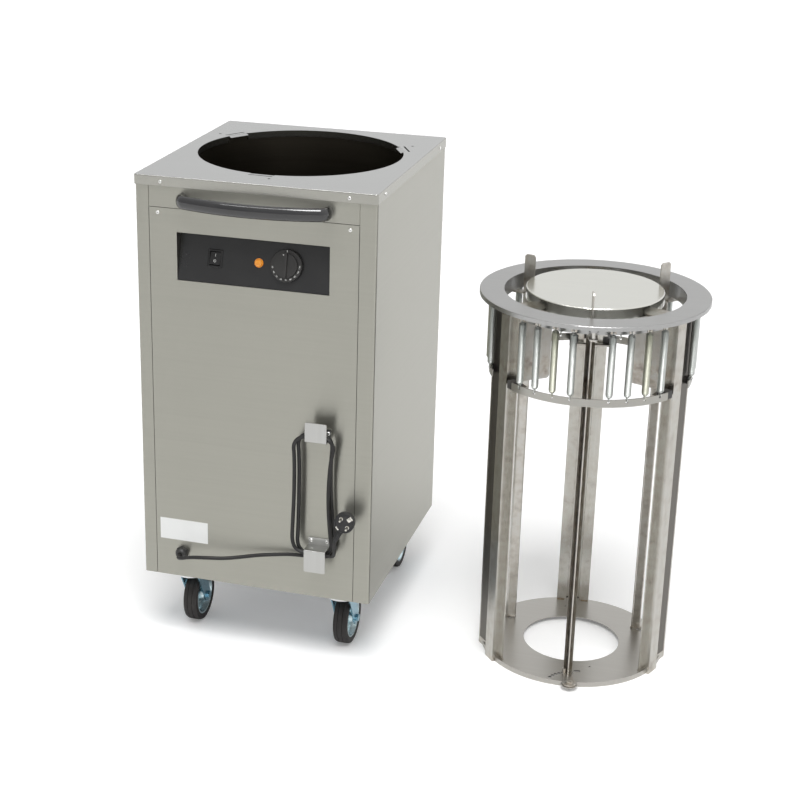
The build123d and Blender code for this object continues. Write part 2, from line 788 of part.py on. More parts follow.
# ---------------------------------------------------------------- casters, built about the swivel axis
plate_bottom = caster_height - caster_plate[2]
race_bottom = plate_bottom - race_height
crown_top = race_bottom - fit_gap
crown_bottom = crown_top - fork_crown
fork_inner = tyre_width / 2 + fork_side_gap
fork_outer = fork_inner + fork_sheet


def caster_plate_shape():
    length, width, thickness = caster_plate
    plate = Pos(0, 0, plate_bottom) * extrude(RectangleRounded(length, width, caster_plate_corner), thickness)
    race = rod(race_radius, 0, 0, race_bottom, plate_bottom)
    race = fillet(race.edges().group_by(Axis.Z)[0], 2.0)
    plate = plate + race - rod(kingpin_radius + kingpin_gap, 0, 0, race_bottom - 1, caster_height - 1)
    for x in (-caster_bolt_spacing[0] / 2, caster_bolt_spacing[0] / 2):
        for y in (-caster_bolt_spacing[1] / 2, caster_bolt_spacing[1] / 2):
            plate = plate + rod(caster_bolt_radius, x, y, plate_bottom - caster_bolt_head, plate_bottom)
    return plate


def fork_leg(x0, x1):
    boss = Pos(caster_trail, wheel_radius) * Circle(fork_boss_radius)
    crown_edge = Pos(1, crown_bottom + fork_crown / 2) * Rectangle(2 * fork_crown_radius - 18, fork_crown)
    outline = make_hull(boss.edges() + crown_edge.edges())
    leg = Plane(origin=(x0, 0, 0), x_dir=(0, 1, 0), z_dir=(1, 0, 0)) * outline
    return extrude(leg, x1 - x0, dir=(1, 0, 0))


def caster_fork_shape():
    crown = rod(fork_crown_radius, 0, 0, crown_bottom, crown_top)
    fork = crown + fork_leg(fork_inner, fork_outer) + fork_leg(-fork_outer, -fork_inner)
    fork = fork + rod(kingpin_radius, 0, 0, crown_top - 1, caster_height - 1.5)
    fork = fork + rod_along(axle_radius, (-fork_outer, caster_trail, wheel_radius), (1, 0, 0), 2 * fork_outer)
    hexagon = RegularPolygon(axle_nut_width / math.sqrt(3), 6)
    nut = extrude(Plane(origin=(fork_outer, caster_trail, wheel_radius), z_dir=(1, 0, 0)) * hexagon, axle_nut)
    head = extrude(Plane(origin=(-fork_outer, caster_trail, wheel_radius), z_dir=(-1, 0, 0)) * hexagon, axle_nut)
    return fork + nut + head


def spun(outline):
    wheel = revolve(outline, Axis.X)
    return Pos(0, caster_trail, wheel_radius) * wheel


def rim_shape():
    points = [(-tyre_width / 2, axle_radius + axle_gap), (-tyre_width / 2, hub_radius), (-rim_web / 2, hub_radius + 3),
              (-rim_web / 2, rim_lip_radius - 2), (-rim_width / 2, rim_lip_radius + 2),
              (-rim_width / 2, tyre_inner_radius)]
    mirrored = [(-x, r) for x, r in reversed(points)]
    return spun(make_face(Polyline(*(points + mirrored), close=True)))


def tyre_shape():
    middle = (tyre_inner_radius + wheel_radius) / 2
    outline = Pos(0, middle) * Rectangle(tyre_width, wheel_radius - tyre_inner_radius)
    outline = fillet(outline.vertices().group_by(Axis.Y)[-1], 5.0)
    return spun(outline)


caster_sets = {"front_left": (caster_side_inset, caster_front_inset),
               "front_right": (cart_width - caster_side_inset, caster_front_inset),
               "rear_left": (caster_side_inset, cart_depth - caster_front_inset),
               "rear_right": (cart_width - caster_side_inset, cart_depth - caster_front_inset)}
caster_pieces = {"plate": caster_plate_shape(), "fork": caster_fork_shape(), "rim": rim_shape(),
                 "tyre": tyre_shape()}
for place, (x, y) in caster_sets.items():
    for piece, shape in caster_pieces.items():
        nodes["caster_" + piece + "_" + place] = cart_place * Pos(x, y, 0) * shape


# ---------------------------------------------------------------- dispenser frame, about its own axis
ring_under = ring_top - ring_sheet
insert_nodes = {}


def pivot_place(angle):
    return polar(pivot_circle, angle)


def ring_shape():
    plate = ring(ring_inner_radius, ring_outer_radius, ring_under, ring_top)
    plate = fillet(plate.edges().filter_by(GeomType.CIRCLE).group_by(Axis.Z)[-1].sort_by(
        SortBy.RADIUS)[-1:], ring_sheet * 0.9)
    rim = ring(ring_outer_radius - ring_sheet, ring_outer_radius, ring_top - ring_rim, ring_under)
    collar = ring(ring_inner_radius, ring_inner_radius + ring_sheet, ring_top - ring_collar, ring_under)
    shape = plate + rim + collar
    for angle in upright_angles:
        notch = block(ring_inner_radius - 4, ring_inner_radius + 4, -web_half_width, web_half_width,
                      ring_top - ring_collar - 1, ring_under)
        shape = shape - turned(notch, angle)
    for angle in sector_angles:
        x, y = pivot_place(angle)
        shape = shape + rod(guide_boss_radius, x, y, ring_under - guide_boss_length, ring_under)
        shape = shape - rod(pivot_radius + pivot_gap, x, y, ring_under - guide_boss_length - 1, ring_under - 1)
    return shape


def index_places(angle):
    x, y = pivot_place(angle)
    places = []
    for i in range(index_count):
        dx, dy = polar(index_circle, angle + 180 + index_first + i * index_step)
        places.append((x + dx, y + dy))
    return places


def base_ring_shape():
    plate = ring(base_hole_radius, base_outer_radius, base_top - base_sheet, base_top)
    plate = fillet(plate.edges().filter_by(GeomType.CIRCLE).group_by(Axis.Z)[-1].sort_by(
        SortBy.RADIUS)[-1:], base_sheet * 0.9)
    rim = ring(base_outer_radius - base_sheet, base_outer_radius, 0, base_top)
    shape = plate + rim
    for angle in sector_angles:
        x, y = pivot_place(angle)
        shape = shape + rod(pivot_ear_radius, x, y, base_top - base_sheet, base_top)
        shape = shape - rod(pivot_radius + pivot_gap, x, y, -1, base_top + 1)
        for hole_x, hole_y in index_places(angle):
            shape = shape - rod(index_hole_radius, hole_x, hole_y, base_top - base_sheet - 1, base_top + 1)
    notch_x, notch_y = polar(127.6, -74.9)
    shape = shape - Pos(notch_x, notch_y, base_top) * Rot(0, 0, -74.9) * Box(4, 12, 6)
    for radius, angle in ((113.0, -62.3), (131.6, 104.8)):
        x, y = polar(radius, angle)
        shape = shape - rod(2.0, x, y, base_top - base_sheet - 1, base_top + 1)
    return shape


def upright_shape(far_side):
    low_wing = far_wing if far_side < 0 else near_wing
    high_wing = far_wing if far_side > 0 else near_wing
    wing_inner = wing_outer - wing_sheet
    wall_inner = web_half_width - web_sheet
    shape = block(web_outer - web_sheet, web_outer, -web_half_width, web_half_width, 0, ring_under)
    shape = shape + block(wing_inner, web_outer, wall_inner, web_half_width, 0, ring_under)
    shape = shape + block(wing_inner, web_outer, -web_half_width, -wall_inner, 0, ring_under)
    shape = shape + block(wing_inner, wing_outer, wall_inner, high_wing, 0, ring_under)
    shape = shape + block(wing_inner, wing_outer, -low_wing, -wall_inner, 0, ring_under)
    collar_outer = ring_inner_radius + ring_sheet
    shape = shape - rod(base_outer_radius, 0, 0, -1, base_top)
    if far_side == 0:
        shape = shape - block(web_outer - web_sheet - 1, web_outer + 1, -foot_notch_width / 2,
                              foot_notch_width / 2, base_top, base_top + foot_notch_height)
    return shape - ring(ring_inner_radius - 5, collar_outer, ring_top - ring_collar, ring_under + 1)


insert_nodes["top_ring"] = ring_shape()
insert_nodes["bottom_ring"] = base_ring_shape()
for angle, name, far_side in zip(upright_angles, upright_names, far_wing_sides):
    insert_nodes["upright_" + name] = turned(upright_shape(far_side), angle)


# Springs: close-wound bodies with a ring hook at each end, hung in the lugs and pulling the band up
def lug_shape():
    low = lug_hole_z - lug_margin
    lug = block(spring_circle - lug_sheet / 2, spring_circle + lug_sheet / 2, -lug_width / 2, lug_width / 2,
                low, ring_under)
    return lug - rod_along(lug_hole_radius, (spring_circle - lug_sheet, 0, lug_hole_z), (1, 0, 0), 2 * lug_sheet)


def spring_shape():
    def hook(z):
        return Pos(spring_circle, 0, z) * Rot(90, 0, 0) * Torus(hook_ring_radius, hook_wire_radius)

    top_hook = hook(lug_hole_z - hook_ring_radius)
    bottom_hook = hook(band_hole_z + hook_ring_radius)
    body = rod(spring_radius, spring_circle, 0, spring_bottom, spring_top)
    top_cone = Pos(spring_circle, 0, spring_top) * Cone(spring_radius, spring_neck_radius, spring_neck, align=on_base)
    bottom_cone = Pos(spring_circle, 0, spring_bottom) * Rot(180, 0, 0) * Cone(
        spring_radius, spring_neck_radius, spring_foot, align=on_base)
    return body + top_cone + bottom_cone + top_hook + bottom_hook


spring_angles = [angle + side * offset for angle in sector_angles for offset in spring_offsets for side in (-1, 1)]
lug = lug_shape()
spring = spring_shape()
insert_nodes["spring_lugs"] = Compound([turned(lug, angle) for angle in spring_angles])
insert_nodes["springs"] = Compound([turned(spring, angle) for angle in spring_angles])


# ---------------------------------------------------------------- carriage
def band_segment(angle):
    start = polar(spring_circle, -band_half_angle)
    end = polar(spring_circle, band_half_angle)
    half = band_sheet / 2
    outer_arc = CenterArc((0, 0, 0), spring_circle + half, -band_half_angle, 2 * band_half_angle)
    inner_arc = CenterArc((0, 0, 0), spring_circle - half, -band_half_angle, 2 * band_half_angle)
    low_end = Line(inner_arc @ 0, outer_arc @ 0)
    high_end = Line(inner_arc @ 1, outer_arc @ 1)
    segment = Pos(0, 0, band_bottom) * extrude(make_face([outer_arc, high_end, inner_arc, low_end]), band_height)
    for offset in spring_offsets:
        for side in (-1, 1):
            hole = rod_along(lug_hole_radius, (spring_circle - 3, 0, band_hole_z), (1, 0, 0), 6)
            segment = segment - turned(hole, side * offset)
    return turned(segment, angle)


insert_nodes["spring_band"] = Compound([band_segment(angle) for angle in sector_angles])


def platform_shape():
    cap = rod(platform_radius, 0, 0, platform_top - platform_skirt, platform_top)
    cap = fillet(cap.edges().group_by(Axis.Z)[-1], platform_edge)
    hollow = rod(platform_radius - platform_sheet, 0, 0, platform_top - platform_skirt - 1,
                 platform_top - platform_sheet)
    return cap - hollow


insert_nodes["platform_disc"] = platform_shape()
tab_top = platform_top - platform_skirt
tab_bottom = tab_top - arm_tab_sheet


def wing_edges(far_side):
    low = far_wing if far_side < 0 else near_wing
    high = far_wing if far_side > 0 else near_wing
    return low, high


def arm_shape(far_side):
    plate = block(arm_inner, arm_outer, -arm_sheet / 2, arm_sheet / 2, arm_bottom, tab_bottom)
    corner = plate.edges().filter_by(Axis.Y).group_by(Axis.Z)[0].sort_by(Axis.X)[:1]
    plate = fillet(corner, arm_corner)
    tab = block(arm_tab_inner, arm_tab_outer, -arm_tab_width / 2, arm_tab_width / 2, tab_bottom, tab_top)
    tab = fillet(tab.edges().filter_by(Axis.Z), arm_tab_width * 0.45)
    low, high = wing_edges(far_side)
    yoke = block(yoke_inner, glide_inner, -low - glide_half, high + glide_half, arm_bottom, arm_bottom + yoke_sheet)
    return plate + tab + yoke


def glide_block(edge, side):
    outer = spring_circle - band_sheet / 2
    body = block(glide_inner, outer + 2, edge - glide_half, edge + glide_half, band_bottom,
                 band_bottom + band_height)
    slot = block(wing_outer - wing_sheet - glide_gap, wing_outer + glide_gap, edge - glide_half - 1,
                 edge + glide_gap, band_bottom - 1, band_bottom + band_height + 1)
    shape = (body - slot) & rod(outer, 0, 0, band_bottom - 1, band_bottom + band_height + 1)
    if side < 0:
        shape = mirror(shape, about=Plane.XZ)
    return shape


def glide_set(far_side):
    low, high = wing_edges(far_side)
    blocks = [glide_block(high, 1), glide_block(low, -1)]
    for z0, z1 in slider_heights:
        blocks.append(block(arm_outer, slider_outer, -slider_width / 2, slider_width / 2, z0, z1))
    return blocks


arms = []
glides = []
for angle, far_side in zip(upright_angles, far_wing_sides):
    arms.append(turned(arm_shape(far_side), angle))
    glides = glides + [turned(shape, angle) for shape in glide_set(far_side)]
insert_nodes["carriage_arms"] = Compound(arms)
insert_nodes["glide_blocks"] = Compound(glides)


# ---------------------------------------------------------------- adjustable plate guides
def guide_shape():
    # built about its pivot, with the blade towards +X
    foot_bottom = base_top + fit_gap
    foot_top = foot_bottom + guide_foot_sheet
    foot = rod(guide_foot_radius, 0, 0, foot_bottom, foot_top)
    arm = block(0, index_circle, -guide_arm_width / 2, guide_arm_width / 2, foot_bottom, foot_top)
    arm = arm + rod(guide_arm_width / 2, index_circle, 0, foot_bottom, foot_top)
    pin = rod(index_pin_radius, index_circle - 3, 6, foot_top, foot_top + index_pin_height)
    screw_cap = rod(guide_screw_radius, 0, 0, foot_top, foot_top + guide_screw_head)
    low_pin = rod(pivot_radius, 0, 0, 1, foot_bottom)
    outline = [(guide_blade_near, foot_top), (guide_blade_far, foot_top),
               (guide_blade_far, guide_blade_top - guide_blade_corner),
               (guide_blade_far - guide_blade_corner, guide_blade_top),
               (guide_blade_near + guide_blade_corner, guide_blade_top),
               (guide_blade_near, guide_blade_top - guide_blade_corner)]
    face = make_face(Polyline(*[(x, -guide_blade_sheet / 2, z) for x, z in outline], close=True))
    blade = extrude(face, guide_blade_sheet, dir=(0, 1, 0))
    fold_line = [(guide_blade_far - guide_fold_depth, guide_fold_half), (guide_blade_far, 0),
                 (guide_blade_far - guide_fold_depth, -guide_fold_half),
                 (guide_blade_far - guide_fold_depth - guide_fold_sheet, -guide_fold_half),
                 (guide_blade_far - 2 * guide_fold_sheet, 0),
                 (guide_blade_far - guide_fold_depth - guide_fold_sheet, guide_fold_half)]
    fold = Pos(0, 0, foot_top) * extrude(make_face(Polyline(*fold_line, close=True)), guide_fold_top - foot_top)
    link_top = guide_fold_top + guide_link_sheet
    link = block(0, guide_blade_near + 4, -guide_arm_width / 2, guide_arm_width / 2, guide_fold_top, link_top)
    link = link + rod(guide_arm_width / 2, 0, 0, guide_fold_top, link_top)
    high_pin = rod(pivot_radius, 0, 0, link_top, ring_under - 3)
    return foot + arm + pin + screw_cap + low_pin + blade + fold + link + high_pin


guide = guide_shape()
for angle, name in zip(sector_angles, ("front", "right", "left")):
    x, y = pivot_place(angle)
    insert_nodes["guide_" + name] = Pos(x, y, 0) * turned(guide, angle + 180 + index_first + index_rest * index_step)

for name, shape in insert_nodes.items():
    nodes[name] = insert_place * shape

# ---------------------------------------------------------------- one file per sub-part
os.makedirs("parts", exist_ok=True)
for name, shape in nodes.items():
    export_step(shape, "parts/" + name + ".step")
print("nodes", len(nodes))
print("cart corner", round(cart_left_x, 3), round(cart_front_y, 3))
print("insert axis", round(insert_x, 3), round(insert_y, 3))
print("set length", round(set_length, 2), "depth", round(wheel_back - handle_front, 2))
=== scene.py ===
import math
import bmesh
import bpy
from mathutils import Matrix, Vector


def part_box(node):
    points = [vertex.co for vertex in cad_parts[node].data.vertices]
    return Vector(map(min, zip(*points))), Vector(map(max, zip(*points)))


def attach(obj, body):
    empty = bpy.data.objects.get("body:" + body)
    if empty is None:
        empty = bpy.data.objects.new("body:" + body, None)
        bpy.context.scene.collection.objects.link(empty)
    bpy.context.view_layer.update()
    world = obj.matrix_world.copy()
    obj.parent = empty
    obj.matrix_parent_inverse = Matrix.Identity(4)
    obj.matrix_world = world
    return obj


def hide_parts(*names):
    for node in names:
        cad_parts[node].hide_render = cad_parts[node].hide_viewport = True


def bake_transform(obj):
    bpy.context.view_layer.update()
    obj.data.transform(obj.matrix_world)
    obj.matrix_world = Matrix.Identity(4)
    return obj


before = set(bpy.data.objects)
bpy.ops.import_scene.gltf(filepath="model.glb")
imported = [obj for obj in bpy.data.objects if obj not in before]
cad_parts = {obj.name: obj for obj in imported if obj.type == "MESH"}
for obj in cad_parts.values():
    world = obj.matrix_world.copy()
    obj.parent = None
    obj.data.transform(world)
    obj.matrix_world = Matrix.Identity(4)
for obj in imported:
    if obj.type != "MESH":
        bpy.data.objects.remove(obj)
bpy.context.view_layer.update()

# ---------------------------------------------------------------- camera
# The photographer stood in front of the cart and a little to its right, looking down on it. The lens
# is long, and the frame is shifted a little.
view_from = (0.7219, -3.0046, 1.6197)
view_yaw, view_pitch, view_roll = math.radians(17.30), math.radians(21.19), math.radians(0.69)
camera_data = bpy.data.cameras.new("photo_camera")
camera_data.sensor_width = 36.0
camera_data.lens = 79.59
camera_data.shift_x = 0.0978
camera_data.shift_y = 0.0205
camera_data.clip_end = 60.0
camera = bpy.data.objects.new("photo_camera", camera_data)
bpy.context.scene.collection.objects.link(camera)
look = Vector((-math.sin(view_yaw) * math.cos(view_pitch), math.cos(view_yaw) * math.cos(view_pitch),
               -math.sin(view_pitch)))
level_right = Vector((math.cos(view_yaw), math.sin(view_yaw), 0))
level_up = level_right.cross(look)
right_way = level_right * math.cos(view_roll) + level_up * math.sin(view_roll)
up_way = level_up * math.cos(view_roll) - level_right * math.sin(view_roll)
camera_turn = Matrix((right_way, up_way, -look)).transposed().to_4x4()
camera.matrix_world = Matrix.Translation(view_from) @ camera_turn
bpy.context.scene.camera = camera
bpy.context.scene.view_settings.view_transform = "Standard"

# ---------------------------------------------------------------- supply cord
# Round black rubber mains lead, 7 mm thick. It leaves the gland low on the front, runs to the lower
# hook, makes two loops over the upper hook and under the lower one, and ends in its plug.
cart_x, cart_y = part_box("lid")[0].xy


def on_cart(x, y, z):
    # millimetres from the lid's front left corner and from the floor, as a place in the scene
    return Vector((cart_x + x / 1000, cart_y + y / 1000, z / 1000))


cord_width = 7.0
cord_points = [
    (78.0, -12.0, 185.0), (78.0, -24.5, 185.0), (89.5, -33.0, 189.5), (103.1, -31.5, 193.1),
    (135.0, -31.0, 197.0), (168.7, -25.0, 197.7), (199.8, -18.0, 202.3), (231.2, -12.0, 208.5),
    (262.0, -8.5, 213.0), (290.3, -4.7, 216.5), (315.3, -4.7, 217.8), (360.0, -4.7, 219.8),
    (379.5, -4.8, 233.5), (375.1, -6.3, 272.0), (369.5, -8.7, 345.0), (369.4, -11.0, 418.0),
    (373.2, -12.2, 448.5), (359.5, -12.4, 463.0), (325.5, -12.4, 463.0), (307.6, -12.4, 449.0),
    (310.9, -12.4, 418.0), (311.0, -12.4, 350.0), (309.7, -12.4, 272.0), (307.8, -12.4, 242.5),
    (321.0, -12.4, 227.0), (360.0, -12.4, 226.0), (374.5, -12.6, 241.5), (370.1, -13.8, 272.0),
    (366.0, -16.3, 345.0), (371.2, -18.6, 418.0), (378.5, -19.7, 446.0), (363.0, -19.9, 460.0),
    (318.0, -19.9, 459.5), (301.5, -19.9, 443.0), (304.3, -19.9, 418.0), (304.3, -19.9, 350.0),
    (301.5, -19.9, 285.0), (300.3, -19.9, 246.5), (314.5, -19.9, 230.5), (364.5, -19.5, 230.0),
    (382.5, -21.0, 233.0), (383.1, -37.5, 265.2), (388.7, -34.2, 277.6)]
cord_curve = bpy.data.curves.new("supply_cord", "CURVE")
cord_curve.dimensions = "3D"
cord_curve.bevel_depth = cord_width / 2000
cord_curve.bevel_resolution = 5
cord_curve.resolution_u = 10
cord_spline = cord_curve.splines.new("NURBS")
cord_spline.points.add(len(cord_points) - 1)
for point, place in zip(cord_spline.points, cord_points):
    point.co = (*on_cart(*place), 1.0)
cord_spline.order_u = 3
cord_spline.use_endpoint_u = True
cord = bpy.data.objects.new("supply_cord", cord_curve)
bpy.context.scene.collection.objects.link(cord)


def add_node(tree, kind, values=None, **settings):
    # one shader node, its settings first and then the values of its inputs
    made = tree.nodes.new("ShaderNode" + kind)
    for name, setting in settings.items():
        setattr(made, name, setting)
    for name, value in (values or {}).items():
        made.inputs[name].default_value = value
    return made


def join(tree, *pairs):
    # each pair is an output and the input that it feeds
    for source, target in pairs:
        tree.links.new(source, target)


def coordinates(material, scale=(1, 1, 1)):
    # the piece's own coordinates in metres, stretched along its axes
    tree = material.node_tree
    stretched = add_node(tree, "Mapping", {"Scale": scale})
    join(tree, (add_node(tree, "TexCoord").outputs["Object"], stretched.inputs["Vector"]))
    return stretched.outputs["Vector"]


def new_material(name):
    material = bpy.data.materials.new(name)
    material.use_nodes = True
    return material, material.node_tree, material.node_tree.nodes["Principled BSDF"]


def new_group(name, takes, gives):
    # a node group with named sockets, and the sockets inside it
    group = bpy.data.node_groups.new(name, "ShaderNodeTree")
    for way, sockets in (("INPUT", takes), ("OUTPUT", gives)):
        for socket_name, kind in sockets.items():
            group.interface.new_socket(name=socket_name, in_out=way, socket_type="NodeSocket" + kind)
    return group, group.nodes.new("NodeGroupInput").outputs, group.nodes.new("NodeGroupOutput").inputs


surface_gives = {"Colour": "Color", "Roughness": "Float", "Normal": "Vector"}


def moulded_surface_group():
    # fine moulding grain, a little dust and uneven sheen for rubber and plastics
    group, given, result = new_group("moulded_surface", {
        "Vector": "Vector", "Colour": "Color", "Dust": "Float", "Grain": "Float", "Rough": "Float",
        "Depth": "Float"}, surface_gives)
    grain = add_node(group, "TexNoise", {"Detail": 3.0})
    patches = add_node(group, "TexNoise", {"Scale": 22.0, "Detail": 4.0})
    dusty = add_node(group, "MapRange", {"From Min": 0.45, "From Max": 0.75})
    amount = add_node(group, "Math", operation="MULTIPLY")
    dust_over = add_node(group, "Mix", {"B": (0.28, 0.27, 0.25, 1)}, data_type="RGBA")
    rough_low = add_node(group, "Math", {1: 0.08}, operation="SUBTRACT")
    rough_spread = add_node(group, "Math", {1: 0.16}, operation="MULTIPLY_ADD")
    bump = add_node(group, "Bump", {"Distance": 0.0002})
    join(group,
         (given["Vector"], grain.inputs["Vector"]),
         (given["Grain"], grain.inputs["Scale"]),
         (given["Vector"], patches.inputs["Vector"]),
         (patches.outputs["Fac"], dusty.inputs["Value"]),
         (dusty.outputs["Result"], amount.inputs[0]),
         (given["Dust"], amount.inputs[1]),
         (amount.outputs[0], dust_over.inputs["Factor"]),
         (given["Colour"], dust_over.inputs["A"]),
         (given["Rough"], rough_low.inputs[0]),
         (patches.outputs["Fac"], rough_spread.inputs[0]),
         (rough_low.outputs[0], rough_spread.inputs[2]),
         (grain.outputs["Fac"], bump.inputs["Height"]),
         (given["Depth"], bump.inputs["Strength"]),
         (dust_over.outputs["Result"], result["Colour"]),
         (rough_spread.outputs[0], result["Roughness"]),
         (bump.outputs["Normal"], result["Normal"]))
    return group


moulded_surface = moulded_surface_group()


def surfaced(name, group, amounts):
    # a material whose colour, roughness and normal come from a node group with its own amounts
    material, tree, shader = new_material(name)
    surface = add_node(tree, "Group", node_tree=group, label="surface")
    for socket_name, amount in amounts.items():
        surface.inputs[socket_name].default_value = amount
    join(tree,
         (surface.outputs["Colour"], shader.inputs["Base Color"]),
         (surface.outputs["Roughness"], shader.inputs["Roughness"]),
         (surface.outputs["Normal"], shader.inputs["Normal"]))
    return material, tree, shader, surface


def moulded(name, colour, rough=0.5, grain=900.0, depth=0.2, dust=0.1, coat=0.0):
    material, tree, shader, surface = surfaced(name, moulded_surface, {
        "Colour": (*colour, 1), "Dust": dust, "Grain": grain, "Rough": rough, "Depth": depth})
    join(tree, (coordinates(material), surface.inputs["Vector"]))
    shader.inputs["Coat Weight"].default_value = coat
    shader.inputs["Coat Roughness"].default_value = 0.08
    return material


def dress(material, *names):
    # a node keeps its mesh and gets a finish of its own
    for name in names:
        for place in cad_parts[name].material_slots:
            place.link = "OBJECT"
            place.material = material


cord_rubber = moulded("cord_rubber", (0.007, 0.0065, 0.0065), rough=0.5, grain=1400, depth=0.12,
                      dust=0.03)
cord_curve.materials.append(cord_rubber)
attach(cord, "cabinet")
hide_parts("cord_run", "cord_hank")

# ---------------------------------------------------------------- plug
# Round moulded rubber plug with a tapered sleeve round the cord. Two bright pins stand on its face,
# with an earth clip on either side of them and a larger square contact by one clip, all pressed in.
plug_width, plug_deep, plug_reach = 37.0, 24.0, 33.0
pin_offset, clip_offset = 9.5, 15.6
mm_to_m = Matrix.Scale(0.001, 4)
cord_end = on_cart(*cord_points[-1])
cord_way = (cord_end - on_cart(*cord_points[-2])).normalized()
plug_face = Vector((0.15, -0.97, 0.19))
plug_face = (plug_face - cord_way * plug_face.dot(cord_way)).normalized()
pin_turn = math.radians(27)
pin_line = cord_way.cross(plug_face) * math.cos(pin_turn) - cord_way * math.sin(pin_turn)
plug_middle = cord_end + cord_way * plug_reach / 1000
plug_turn = Matrix((pin_line, plug_face.cross(pin_line), plug_face)).transposed().to_4x4()
plug_place = Matrix.Translation(plug_middle) @ plug_turn @ mm_to_m


def piece(name, shape, material, body, place=None, smooth_angle=None):
    # a bmesh in its own axes becomes an object at the origin with its place in its mesh
    if place is not None:
        bmesh.ops.transform(shape, matrix=place, verts=shape.verts)
    mesh = bpy.data.meshes.new(name)
    shape.to_mesh(mesh)
    shape.free()
    mesh.materials.append(material)
    if smooth_angle is not None:
        mesh.shade_smooth()
        mesh.set_sharp_from_angle(angle=math.radians(smooth_angle))
    made = bpy.data.objects.new(name, mesh)
    bpy.context.scene.collection.objects.link(made)
    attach(made, body)
    return made


def lathe(shape, outline, steps=48):
    # an outline of (radius, height) pairs turned once round the upright axis
    points = [shape.verts.new((radius, 0, height)) for radius, height in outline]
    edges = [shape.edges.new(pair) for pair in zip(points, points[1:])]
    bmesh.ops.spin(shape, geom=points + edges, cent=(0, 0, 0), axis=(0, 0, 1), angle=math.tau,
                   steps=steps, use_merge=True)
    bmesh.ops.remove_doubles(shape, verts=shape.verts, dist=1e-6)
    bmesh.ops.recalc_face_normals(shape, faces=shape.faces)


def only(kind, geometry):
    return [part for part in geometry if isinstance(part, kind)]


def edges_at(verts):
    return list({edge for vert in verts for edge in vert.link_edges})


def round_edges(shape, edges, radius):
    bmesh.ops.bevel(shape, geom=edges, offset=radius, segments=2, profile=0.5, affect="EDGES",
                    material=-1)


def add_block(shape, sides, place):
    return bmesh.ops.create_cube(shape, size=1.0, matrix=place @ Matrix.Diagonal((*sides, 1)))["verts"]


def stamp(shape, mesh, place, material_index=0):
    # one more copy of a finished mesh, at its own place in the shape
    first_vert, first_face = len(shape.verts), len(shape.faces)
    shape.from_mesh(mesh)
    shape.verts.ensure_lookup_table()
    shape.faces.ensure_lookup_table()
    bmesh.ops.transform(shape, matrix=place, verts=shape.verts[first_vert:])
    for face in shape.faces[first_face:]:
        face.material_index = material_index


plug_shape = bmesh.new()
half = plug_deep / 2
lathe(plug_shape, [
    (0, -half), (12.5, -half), (15.2, -half + 0.9), (17.4, -half + 3.0), (18.1, -half + 6.0),
    (18.1, 1.5), (17.2, 2.0), (17.2, 3.2), (18.4, 3.7), (18.5, half - 1.6), (17.9, half - 0.3),
    (16.9, half), (15.9, half), (15.6, half - 0.7), (15.0, half - 0.7), (14.7, half), (0, half)], 64)
plug_rubber = moulded("plug_rubber", (0.018, 0.018, 0.019), rough=0.5, grain=1100, depth=0.25,
                      dust=0.12)
plug = piece("plug_body", plug_shape, plug_rubber, "cabinet", plug_place, 35)
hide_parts("plug")

sleeve_shape = bmesh.new()
sleeve_long = plug_reach - plug_width / 2 * 0.6
sleeve_line = [(3.55, -6.0), (4.5, -6.0), (4.7, -4.2)]
for ring_number in range(6):
    start = -4.0 + ring_number * 3.6
    wide = 4.7 + ring_number * 0.42
    sleeve_line += [(wide, start), (wide, start + 2.2), (wide - 0.7, start + 2.5),
                    (wide - 0.7, start + 3.3)]
sleeve_line += [(7.4, sleeve_long - 2.5), (8.2, sleeve_long + 3.0), (0.1, sleeve_long + 3.0)]
lathe(sleeve_shape, sleeve_line, 32)
sleeve_turn = Matrix((plug_face.cross(cord_way), plug_face, cord_way)).transposed().to_4x4()
sleeve = piece("plug_sleeve", sleeve_shape, plug_rubber, "cabinet",
               Matrix.Translation(cord_end) @ sleeve_turn @ mm_to_m, 35)


def bright_metal(name, colour, rough=0.2, grain=700.0, depth=0.08):
    # plated or rolled metal: fine mottling in tone, sheen and height
    material, tree, shader = new_material(name)
    mottle = add_node(tree, "TexNoise", {"Scale": grain, "Detail": 4.0})
    shade = add_node(tree, "Mix", {
        "A": (*(0.8 * c for c in colour), 1),
        "B": (*(min(1.0, 1.12 * c) for c in colour), 1)}, data_type="RGBA")
    sheen = add_node(tree, "MapRange", {"To Min": max(0.05, rough - 0.1), "To Max": rough + 0.12})
    bump = add_node(tree, "Bump", {"Strength": depth, "Distance": 0.0003})
    join(tree,
         (coordinates(material), mottle.inputs["Vector"]),
         (mottle.outputs["Fac"], shade.inputs["Factor"]),
         (mottle.outputs["Fac"], sheen.inputs["Value"]),
         (mottle.outputs["Fac"], bump.inputs["Height"]),
         (shade.outputs["Result"], shader.inputs["Base Color"]),
         (sheen.outputs["Result"], shader.inputs["Roughness"]),
         (bump.outputs["Normal"], shader.inputs["Normal"]))
    shader.inputs["Metallic"].default_value = 1.0
    return material


